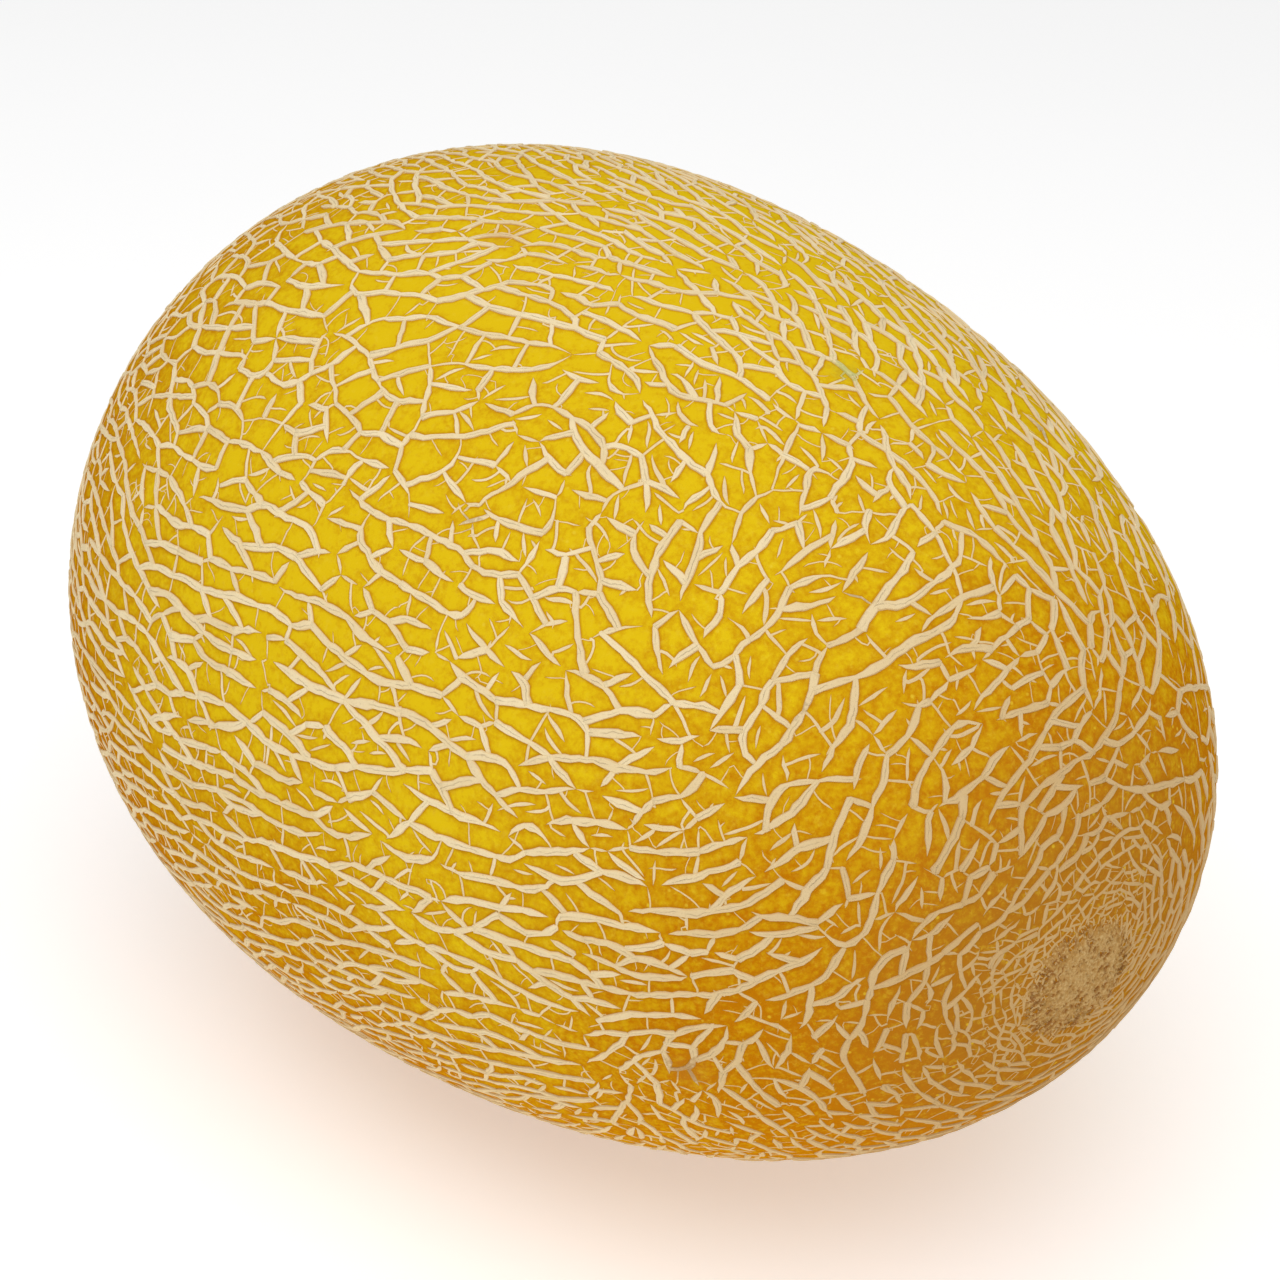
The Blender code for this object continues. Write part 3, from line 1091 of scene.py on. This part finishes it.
MARKS = (  # small scuffs and tints: place, radius, colour, and strength on the cork and on the rind
    ((0.0493, -0.0003, 0.1412), 0.0036, (0.40, 0.46, 0.06), 0.60, 0.18),
    ((0.0747, -0.0505, 0.0562), 0.0050, (0.42, 0.22, 0.07), 0.75, 0.10),
    ((0.0764, -0.0232, 0.1227), 0.0026, (0.36, 0.25, 0.13), 0.55, 0.0),
    ((0.0786, -0.0359, 0.1119), 0.0022, (0.36, 0.25, 0.13), 0.50, 0.0),
    ((0.0635, 0.0262, 0.1291), 0.0032, (0.38, 0.30, 0.17), 0.60, 0.0),
    ((-0.0067, -0.0182, 0.1500), 0.0050, (0.60, 0.26, 0.02), 0.25, 0.35),
    ((0.0280, -0.0518, 0.1256), 0.0024, (0.36, 0.25, 0.12), 0.50, 0.0),
)


def marked(board, base, where, on_rind):
    """A base colour with the fruit's few small scuffs and tints, on its cork or on its rind."""
    grit = board.speckle(where, 1700.0)
    for place, radius, tint, on_cork_strength, on_rind_strength in MARKS:
        strength = on_rind_strength if on_rind else on_cork_strength
        if strength:
            gap = board.distance(where, place) + (grit - 0.5) * 0.006
            base = board.coats(base, (board.fade(gap, radius * 0.2, radius) * strength, tint))
    return base


def rind_material(settings):
    """Waxy golden rind, warmer towards the ends; darker beside the net and towards the underside, partly
    its own colour and partly painted shade; paler on top as painted light; pale dots partly painted glints.
    """
    material, board, shader, where = new_material("waxy rind")
    along, _, height = board.split(where)
    broad = board.speckle(where, 24.0, detail=2.0)
    mottle = board.speckle(where, 330.0, detail=4.0, roughness=0.6)
    fine = board.speckle(where, 1100.0, detail=4.0, roughness=0.65)
    # Less orange high up: painted light on top.
    high = board.rise(height, 0.075, 0.140)
    ends = board.rise(along, 0.030, 0.108) * (0.88 - high * 0.45)
    ends = ends + board.rise(along, 0.005, -0.050) * 0.34 + board.rise(along, -0.030, -0.090) * 0.46
    # Warmer and darker towards the underside, partly the rind's own colour and partly painted shade; paler at
    # the very top as painted light.
    under = board.rise(height, 0.115, 0.020) * (0.85 - board.rise(along, 0.015, 0.080) * 0.60)
    under = under - board.rise(height, 0.128, 0.147) * 0.13
    # Beside the net the rind is darker and more orange: partly its own darker skin, partly painted shade at
    # the foot of the raised lines.
    warm = board.fade(board.attribute("net_distance"), 0.0003, 0.0024)
    across = board.attribute("across")
    stain_and_shade = board.rise(across, 0.98, 1.0) * (2 - across).most(0.0) ** 1.6
    # The orange share: warmer ends and random mottle, with painted shade towards the underside and beside the
    # net.
    ripe_and_shade = ends + under + warm * 0.30 + (broad - 0.5) * 0.6 + (mottle - 0.5) * 0.9 + (fine - 0.5) * 1.5 - 0.16
    ripe_and_shade = ripe_and_shade.most(0.0).least(1.0)
    scar_gap = board.distance(where, SCAR_PLACE)
    brown = board.fade(scar_gap, 0.008, 0.042) * 0.65
    burnt = board.fade(scar_gap, 0.009, 0.050) * 0.42
    # Pale dots: partly the rind's own specks, partly painted glints.
    grains = {"Vector": where, "Scale": 420.0, "Randomness": 1.0}
    cells = board.add("ShaderNodeTexVoronoi", {"feature": "F1"}, grains, "Distance")
    chosen = board.add("ShaderNodeSeparateColor", sockets={0: cells.part("Color")})
    dot = board.fade(cells, 0.05, 0.16) * board.rise(chosen, 0.62, 0.70)
    light = board.speckle(where, 900.0, detail=5.0, roughness=0.7)
    base = board.coats(
        colour(settings.rind_yellow),
        (ripe_and_shade, settings.rind_orange),
        ((stain_and_shade * 0.80 + brown + warm * 0.05).least(1.0), settings.rind_stain_and_shade),
        (burnt, settings.cork_pit_and_shadow),
        (dot * 0.55, settings.rind_pale_and_glint),
        (board.rise(light, 0.50, 0.72) * 0.30, settings.rind_pale_and_glint),
    )
    base = marked(board, base, where, on_rind=True)
    gloss = 0.40 + (mottle - 0.5) * 0.25 + stain_and_shade * 0.18 - dot * 0.15
    bumps = fine * 0.25 + mottle * 0.75
    set_finish(board, shader, base, gloss, bumps, strength=0.5, depth=0.00018, specular=0.0)
    return material


def cork_material(settings):
    """Cream cork with painted shade on the sides and foot of its lines and towards the underside,
    and fine grey fissures down the middle of its wide lines.
    """
    material, board, shader, where = new_material("cream cork")
    along, _, height = board.split(where)
    grain = board.speckle(where, 2600.0, detail=4.0, roughness=0.65)
    blotch = board.speckle(where, 260.0)
    half = board.attribute("half_width")
    across = board.attribute("across")
    drift = (board.speckle(where, 480.0, detail=4.0) - 0.5) * 1.7
    breaks = board.rise(board.speckle(where, 300.0, detail=2.0), 0.40, 0.58)
    wide = board.rise(half, 0.00030, 0.00065)
    fissure = board.fade(abs(board.attribute("side") + drift), 0.02, 0.11) * breaks * wide
    # Darker towards the underside as painted shade, and darker towards the blossom end.
    under = board.rise(height, 0.090, 0.006) * 0.60 + board.rise(along, 0.03, 0.108) * 0.30
    base = board.coats(
        colour(settings.cork_cream),
        (board.attribute("tone") * 0.35 + (blotch - 0.5) * 0.5, settings.cork_shade),
        # Painted shade on the sides of each line, and a painted shadow at its foot.
        (board.rise(across, 0.60, 1.02) * 0.35, settings.cork_shade),
        (board.rise(across, 0.90, 1.02) * 0.45, settings.cork_pit_and_shadow),
        (board.fade(half, 0.00008, 0.00026) * 0.38, settings.cork_thin),
        (under, settings.cork_shade),
        (board.fade(board.distance(where, SCAR_PLACE), 0.008, 0.075) * 0.70, settings.cork_tan),
        (board.rise(grain, 0.52, 0.72) * 0.26, settings.cork_fissure),
        (fissure * 0.28, settings.cork_fissure),
    )
    base = marked(board, base, where, on_rind=False)
    bumps = grain * 0.5 + blotch * 0.5 - fissure * 1.2
    dull = 0.78 + (grain - 0.5) * 0.2
    set_finish(board, shader, base, dull, bumps, strength=0.7, depth=0.00014, specular=0.05)
    return material


def scab_material(settings):
    """The fused cork of the scar and the stalk's collar: tan, paler where raised and brown in its pits,
    partly its own colour and partly painted shade.
    """
    material, board, shader, where = new_material("fused cork")
    grain = board.speckle(where, 2300.0, detail=4.0, roughness=0.7)
    blotch = board.speckle(where, 420.0)
    base = board.coats(
        colour(settings.cork_tan),
        # Paler where raised and brown in pits and gaps: partly the crust's own colour, partly painted shade.
        (board.rise(board.attribute("lift"), 0.35, 0.85) * 0.45, settings.cork_shade),
        (board.rise(blotch, 0.45, 0.70) * 0.55, settings.cork_tan),
        (board.rise(board.attribute("pit"), 0.10, 0.80) * 0.92, settings.cork_pit_and_shadow),
        (board.rise(grain, 0.50, 0.68) * 0.75, settings.cork_shade),
        (board.rise(grain, 0.46, 0.34) * 0.60, settings.cork_pit_and_shadow),
    )
    dull = 0.80 + (grain - 0.5) * 0.2
    bumps = grain * 0.7 + blotch * 0.3
    set_finish(board, shader, base, dull, bumps, strength=0.8, depth=0.0003, specular=0.05)
    return material


def stalk_material(settings):
    """Dry fibrous stalk, streaked along its length."""
    material, board, shader, where = new_material("dry stalk")
    stretched = board.vector("MULTIPLY", where, (0.12, 1.0, 1.0))
    streak = board.speckle(stretched, 1500.0, detail=5.0, roughness=0.65)
    patch = board.speckle(where, 240.0)
    base = board.coats(
        colour(settings.stalk_dark),
        (board.rise(streak, 0.38, 0.66), settings.stalk_light),
        (board.rise(patch, 0.5, 0.75) * 0.4, settings.stalk_green),
    )
    dull = 0.78 + (patch - 0.5) * 0.2
    set_finish(board, shader, base, dull, streak, strength=0.8, depth=0.00035, specular=0.5)
    return material


def shared_material(make, name, settings):
    """A finish that several pieces share, made when it is first needed."""
    return bpy.data.materials.get(name) or make(settings)


# Pieces.

SCAR_SIZE = (0.0082, 0.0048)  # radius of the solid middle, and width of the broken rim
COLLAR_SIZE = (0.0085, 0.0035)
CRUST_PITCH = 0.00022  # between its points
CRUST_HEIGHT = 0.00066
CRUST_FOOT = -0.12  # as a share of the height; what lies deeper isn't seen

STALK_LENGTH = 0.0102  # out of the hollow in the rind
STALK_ROOT = 0.003  # sunk in the rind
STALK_ROWS = 34
STALK_SIDES = 96
STALK_RIM = 0.0003
STALK_DISH = 0.0009


def show(name, mesh):
    """A shown piece at the origin, riding on the fruit's only body."""
    piece = bpy.data.objects.new(name, mesh)
    bpy.context.scene.collection.objects.link(piece)
    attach(piece, "root")
    return piece


def crust_relief(spot, aside, upward, radius, spread):
    """The height and the depth of the pits in a crust of fused cork, at an offset from its middle."""
    gap = math.hypot(aside, upward)
    lobed = radius * (1 + 0.45 * noise.noise(spot * 200) + 0.30 * noise.noise(spot * 450))
    rim = smooth_step(lobed + spread * 0.35, lobed - spread * 0.65, gap)
    lace = smooth_step(radius + spread * 0.95, radius, gap) * (1 - 0.8 * rim)
    spoke = Vector((aside, upward, 0.0)).normalized() * 8 + Vector((0.0, 0.0, gap * 110))
    vein = 1 - abs(noise.noise(spoke)) * 3.4
    vein = max(vein, 0.9 - abs(noise.noise(spot * 900 + Vector((7, 7, 7)))) * 3.4)
    strand = 1 - abs(noise.noise(spot * 1000)) * 4
    strand = max(strand, 1 - abs(noise.noise(spot * 1700 + Vector((3, 3, 3)))) * 3.4)
    hollow = noise.voronoi(spot * 520)[0][0]
    hole = smooth_step(0.42, 0.18, hollow) * smooth_step(-0.45, -0.10, noise.noise(spot * 260))
    beside = smooth_step(0.55, 0.05, rim) * smooth_step(0.95, 0.40, vein)
    pit = max(hole, smooth_step(0.60, -0.6, strand) * 0.75, beside)
    lift = -0.60 + 0.95 * rim + 1.20 * max(vein, 0) * lace + 0.30 * strand * rim - 0.75 * hole * rim
    return lift, pit


def fused_cork(name, direction, size, material):
    """A crust of fused cork: solid in its middle, and broken into lines and pits towards its rim."""
    radius, spread = size
    centre = bare_point(direction)
    outward = Vector((centre.x * 0.6, centre.y, centre.z)).normalized()
    first = outward.orthogonal().normalized()
    second = outward.cross(first)
    count = int(2 * (radius + spread) / CRUST_PITCH) + 1
    offsets = [(i - (count - 1) / 2) * CRUST_PITCH for i in range(count)]
    flat = [(a, b) for b in offsets for a in offsets]
    directions = np.array([sphere_direction(centre + first * a + second * b) for a, b in flat])
    places, normals = rind_points(directions), rind_normals(directions)
    relief = [crust_relief(Vector(place), a, b, radius, spread) for (a, b), place in zip(flat, places)]
    lifts, pits = np.array(relief).T
    faces = []
    for row in range(count - 1):
        for column in range(count - 1):
            corner = row * count + column
            quad = (corner, corner + 1, corner + 1 + count, corner + count)
            if max(lifts[i] for i in quad) > CRUST_FOOT:
                faces.append(quad)
    mesh = bpy.data.meshes.new(name)
    mesh.from_pydata((places + normals * (lifts[:, None] * CRUST_HEIGHT)).tolist(), [], faces)
    add_numbers(mesh, "lift", lifts)
    add_numbers(mesh, "pit", pits)
    crust = bmesh.new()
    crust.from_mesh(mesh)
    bmesh.ops.delete(crust, geom=[vert for vert in crust.verts if not vert.link_faces], context="VERTS")
    for vert in crust.verts:
        vert.co.z = max(vert.co.z, 0.0)
    crust.to_mesh(mesh)
    crust.free()
    mesh.shade_smooth()
    mesh.materials.append(material)
    show(name, mesh)


def stalk_radius(distance, turn):
    """The stalk's radius at a distance out from the rind, with five soft ribs."""
    ribs = 1 + 0.075 * math.cos(5 * turn + 90 * distance) + 0.03 * math.cos(11 * turn + 1.3)
    flare = 0.0049 + 0.0026 * math.exp(-max(distance, -0.002) / 0.0021)
    return flare * ribs * (1 + 0.05 * smooth_step(0.0075, 0.0100, distance))


def stalk_ring(distance, share):
    """One ring of the stalk's points, at a distance out and at a share of the full radius."""
    ring = []
    for k in range(STALK_SIDES):
        turn = 2 * math.pi * k / STALK_SIDES
        radius = stalk_radius(min(distance, STALK_LENGTH), turn) * share
        rough = noise.noise(Vector((distance * 260, math.cos(turn) * 3, math.sin(turn) * 3)))
        radius *= 1 + 0.035 * rough
        fibre = 0.00018 * noise.noise(Vector((radius * 2600, turn * 5, 3))) if share < 1 else 0.0
        ring.append(Vector((-distance + fibre, radius * math.cos(turn), radius * math.sin(turn))))
    return ring


def stalk_mesh():
    """The cut stalk: a ribbed stump that flares into the rind, with a dished and fibrous cut end."""
    height = STALK_LENGTH + STALK_ROOT
    rows = [(-STALK_ROOT + height * i / STALK_ROWS, 1.0) for i in range(STALK_ROWS + 1)]
    rim = [(STALK_LENGTH + STALK_RIM * math.sin(math.pi * share), 1 - 0.12 * share) for share in (0.4, 0.8)]
    dish = (0.82, 0.7, 0.55, 0.4, 0.25, 0.12)
    dish = [(STALK_LENGTH - STALK_DISH * (1 - share * share), share) for share in dish]
    root = Vector(rind_points(np.array([STALK_DIRECTION]))[0])
    shape = bmesh.new()
    rings = [[shape.verts.new(root + spot) for spot in stalk_ring(*row)] for row in rows + rim + dish]
    for inner, outer in zip(rings, rings[1:]):
        for k in range(STALK_SIDES):
            following = (k + 1) % STALK_SIDES
            shape.faces.new((inner[k], inner[following], outer[following], outer[k]))
    shape.faces.new(rings[-1])
    shape.faces.new(rings[0][::-1])
    bmesh.ops.recalc_face_normals(shape, faces=shape.faces)
    mesh = bpy.data.meshes.new("stalk")
    shape.to_mesh(mesh)
    shape.free()
    mesh.shade_smooth()
    mesh.set_sharp_from_angle(angle=math.radians(50))
    return mesh


# What a user would change.


def colour_setting(name, description, default):
    """A colour that a user would change."""
    return FloatVectorProperty(name=name, description=description, subtype="COLOR", default=default)


class MelonSettings(bpy.types.PropertyGroup):
    """Sizes and colours of the melon's skin."""

    net_seed: IntProperty(name="Net seed", description="Which of the possible nets grows", default=7, min=1)
    cell_size: FloatProperty(
        name="Cell size",
        description="Spacing of the net, as a share of the photographed fruit's",
        default=1.0,
    )
    cork_rise: FloatProperty(
        name="Cork rise", description="Height of a cork line, as a share of its half width", default=0.52
    )
    raggedness: FloatProperty(
        name="Raggedness", description="How uneven the edges of the cork lines are", default=0.22
    )
    # Reach of the band beside each cork line, darkened partly by painted shade.
    stain_and_shade_width: FloatProperty(
        name="Stain and shade width",
        description="Reach of the stain beside a cork line",
        default=0.00050,
        unit="LENGTH",
    )
    cell_fullness: FloatProperty(
        name="Cell fullness",
        description="How far the rind bulges between lines",
        default=0.00012,
        unit="LENGTH",
    )
    rind_yellow: colour_setting("Rind yellow", "Rind at its brightest", (0.79, 0.54, 0.008))
    # Also used as painted shade towards the underside and beside the net.
    rind_orange: colour_setting("Rind orange", "Rind at its ripest", (0.55, 0.19, 0.002))
    # Darker rind beside the net, partly its own colour and partly painted shade; also the brown round the
    # scar.
    rind_stain_and_shade: colour_setting("Rind stain", "Rind beside the net", (0.52, 0.21, 0.006))
    # Pale dots and flecks of the rind; the dots are partly painted glints.
    rind_pale_and_glint: colour_setting("Rind dots", "Pale dots in the rind", (0.84, 0.61, 0.04))
    cork_cream: colour_setting("Cork cream", "Cork tops", (0.92, 0.76, 0.47))
    # Random darker tone, and painted shade on the sides of cork lines and towards the underside.
    cork_shade: colour_setting("Cork shade", "Cork sides", (0.70, 0.49, 0.22))
    cork_thin: colour_setting("Thin cork", "Hairline cork", (0.84, 0.62, 0.24))
    cork_tan: colour_setting("Cork tan", "Cork round the scar", (0.48, 0.26, 0.07))
    # Dark brown of pits and of the rind round the scar, and the painted shadow at the foot of each cork line.
    cork_pit_and_shadow: colour_setting("Cork pits", "Pits in fused cork", (0.30, 0.12, 0.025))
    cork_fissure: colour_setting("Cork fissures", "Fissures and grain of the cork", (0.42, 0.29, 0.18))
    stalk_light: colour_setting("Stalk light", "Fibres of the dry stalk", (0.44, 0.34, 0.18))
    stalk_dark: colour_setting("Stalk dark", "Hollows of the dry stalk", (0.16, 0.10, 0.045))
    stalk_green: colour_setting("Stalk green", "Last green of the stalk", (0.30, 0.30, 0.11))


THIN = 0.39  # a cell line whose greatest half width is less, in millimetres, is thin
WIDEST = 9  # more than any half width
WHOLE = (-200, 200)  # the fruit's whole length, and more

# The net's pieces: name, kinds of line, greatest half widths and starts along the fruit that fall in
# it, in millimetres, and points across the profile.
NET_PIECES = (
    ("net_stalk_third", (CELL_LINE,), (THIN, WIDEST), (-200, -50), 7),
    ("net_middle", (CELL_LINE,), (THIN, WIDEST), (-50, 18), 7),
    ("net_blossom_third", (CELL_LINE,), (THIN, WIDEST), (18, 200), 7),
    ("net_thin_lines", (CELL_LINE,), (0, THIN), WHOLE, 5),
    ("net_blades", (BLADE, TWIG, THORN, RAY), (0, WIDEST), WHOLE, 5),
    ("net_hairlines", (HAIR,), (0, WIDEST), WHOLE, 5),
)

# Lamps of the stage: name, place, width and power in watts.
LAMPS = (
    ("large lamp", (0.38, -0.28, 0.98), 0.9, 5.4),
    ("left lamp", (-0.60, -0.40, 0.85), 0.6, 0.7),
)

net_lines = []


def grown_lines():
    """The lines of the net, which the rind follows too."""
    if not net_lines:
        raise RuntimeError("The net is grown before the pieces that follow its lines")
    return net_lines


class MELON_OT_grow_net(bpy.types.Operator):
    """Grow the cracks of the rind that the cork net fills"""

    bl_idname = "melon.grow_net"
    bl_label = "Grow net"

    def execute(self, context):
        settings = context.scene.melon
        net_lines[:] = grow_net(settings.net_seed, settings.cell_size)
        return {"FINISHED"}


class MELON_OT_add_rind(bpy.types.Operator):
    """Add the fruit's waxy rind in place of its plain solid"""

    bl_idname = "melon.add_rind"
    bl_label = "Add rind"

    def execute(self, context):
        settings = context.scene.melon
        lines = line_mesh("net_lines", grown_lines())
        material = shared_material(rind_material, "waxy rind", settings)
        values = {"Cell fullness": settings.cell_fullness, "Rind": material}
        rind = show("rind", run_tree("rind", lines, rind_tree(), values))
        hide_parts("melon")
        return {"FINISHED"}


class MELON_OT_add_net(bpy.types.Operator):
    """Add the raised lines of the cork net"""

    bl_idname = "melon.add_net"
    bl_label = "Add net"

    def execute(self, context):
        settings = context.scene.melon
        values = {
            "Rise": settings.cork_rise,
            "Raggedness": settings.raggedness,
            "Stain and shade width": settings.stain_and_shade_width,
            "Cork": shared_material(cork_material, "cream cork", settings),
            "Rind": shared_material(rind_material, "waxy rind", settings),
        }
        tree = cork_tree()
        for name, kinds, (least, most), (low, high), points in NET_PIECES:
            lines = [
                line
                for line in grown_lines()
                if line.kind in kinds and least <= max(line.widths) < most and low <= line.points[0].x < high
            ]
            values["Profile points"] = points
            mesh = run_tree(name, line_mesh(name + "_lines", lines), tree, values)
            mesh.set_sharp_from_angle(angle=math.radians(48))
            show(name, mesh)
        return {"FINISHED"}


class MELON_OT_add_scar(bpy.types.Operator):
    """Add the corky scar at the blossom end"""

    bl_idname = "melon.add_scar"
    bl_label = "Add blossom scar"

    def execute(self, context):
        material = shared_material(scab_material, "fused cork", context.scene.melon)
        fused_cork("blossom_scar", SCAR_DIRECTION, SCAR_SIZE, material)
        return {"FINISHED"}


class MELON_OT_add_stalk(bpy.types.Operator):
    """Add the cut stalk and the collar of cork round it"""

    bl_idname = "melon.add_stalk"
    bl_label = "Add stalk"

    def execute(self, context):
        settings = context.scene.melon
        material = shared_material(scab_material, "fused cork", settings)
        fused_cork("stalk_collar", STALK_DIRECTION, COLLAR_SIZE, material)
        mesh = stalk_mesh()
        mesh.materials.append(shared_material(stalk_material, "dry stalk", settings))
        show("stalk", mesh)
        return {"FINISHED"}


def add_floor():
    """A plain pale floor that is much wider than the view."""
    shape = bmesh.new()
    bmesh.ops.create_grid(shape, x_segments=1, y_segments=1, size=6.0)
    mesh = bpy.data.meshes.new("floor")
    shape.to_mesh(mesh)
    shape.free()
    material, board, shader, where = new_material("pale floor")
    base = board.blend(board.speckle(where, 3.0), colour((0.90, 0.90, 0.90)), colour((0.93, 0.93, 0.93)))
    feed(board, shader, Base_Color=base, Roughness=0.9)
    feed(board, shader, Emission_Color=colour((1, 1, 1)), Emission_Strength=0.35)
    mesh.materials.append(material)
    floor = bpy.data.objects.new("floor", mesh)
    bpy.context.scene.collection.objects.link(floor)


def aim(thing, target):
    """Turn a lamp or a camera so that it looks at a place."""
    thing.rotation_euler = (Vector(target) - thing.location).to_track_quat("-Z", "Y").to_euler()


def add_lights(scene):
    """A bright white room with a large lamp overhead and a fainter one from the left."""
    world = bpy.data.worlds.new("white room")
    scene.world = world
    scene.view_settings.view_transform = "Standard"
    world.use_nodes = True
    background = world.node_tree.nodes["Background"]
    background.inputs["Color"].default_value = (1, 1, 1, 1)
    background.inputs["Strength"].default_value = 0.45
    for name, place, size, power in LAMPS:
        lamp = bpy.data.lights.new(name, "AREA")
        lamp.shape = "DISK"
        lamp.size = size
        lamp.energy = power
        stand = bpy.data.objects.new(name, lamp)
        stand.location = place
        scene.collection.objects.link(stand)
        aim(stand, MIDDLE)


def add_camera(scene):
    """The photograph's camera."""
    lens = bpy.data.cameras.new("camera")
    lens.sensor_width = 36.0
    lens.lens = lens.sensor_width / 2 / math.tan(VIEW_FIELD / 2)
    lens.shift_x, lens.shift_y = VIEW_SHIFT
    lens.clip_start = 0.01
    camera = bpy.data.objects.new("camera", lens)
    level = math.cos(VIEW_ELEVATION)
    back = Vector((math.sin(VIEW_AZIMUTH) * level, -math.cos(VIEW_AZIMUTH) * level, math.sin(VIEW_ELEVATION)))
    camera.location = MIDDLE + back * VIEW_DISTANCE
    scene.collection.objects.link(camera)
    aim(camera, MIDDLE)
    scene.camera = camera


class MELON_OT_add_stage(bpy.types.Operator):
    """Add the pale floor, the soft studio light and the camera"""

    bl_idname = "melon.add_stage"
    bl_label = "Add stage"

    def execute(self, context):
        add_floor()
        add_lights(context.scene)
        add_camera(context.scene)
        return {"FINISHED"}


STEPS = (
    MELON_OT_grow_net,
    MELON_OT_add_rind,
    MELON_OT_add_net,
    MELON_OT_add_scar,
    MELON_OT_add_stalk,
    MELON_OT_add_stage,
)


class MELON_PT_panel(bpy.types.Panel):
    """The melon's settings and steps"""

    bl_label = "Hami melon"
    bl_idname = "MELON_PT_panel"
    bl_space_type = "VIEW_3D"
    bl_region_type = "UI"
    bl_category = "Melon"

    def draw(self, context):
        for name in MelonSettings.__annotations__:
            self.layout.prop(context.scene.melon, name)
        for step in STEPS:
            self.layout.operator(step.bl_idname)


def register():
    for shown in (MelonSettings, *STEPS, MELON_PT_panel):
        bpy.utils.register_class(shown)
    bpy.types.Scene.melon = PointerProperty(type=MelonSettings)


def unregister():
    del bpy.types.Scene.melon
    for shown in (MELON_PT_panel, *reversed(STEPS), MelonSettings):
        bpy.utils.unregister_class(shown)


def main():
    register()
    bpy.ops.melon.grow_net()
    bpy.ops.melon.add_rind()
    bpy.ops.melon.add_net()
    bpy.ops.melon.add_scar()
    bpy.ops.melon.add_stalk()
    bpy.ops.melon.add_stage()


if __name__ == "__main__":
    main()
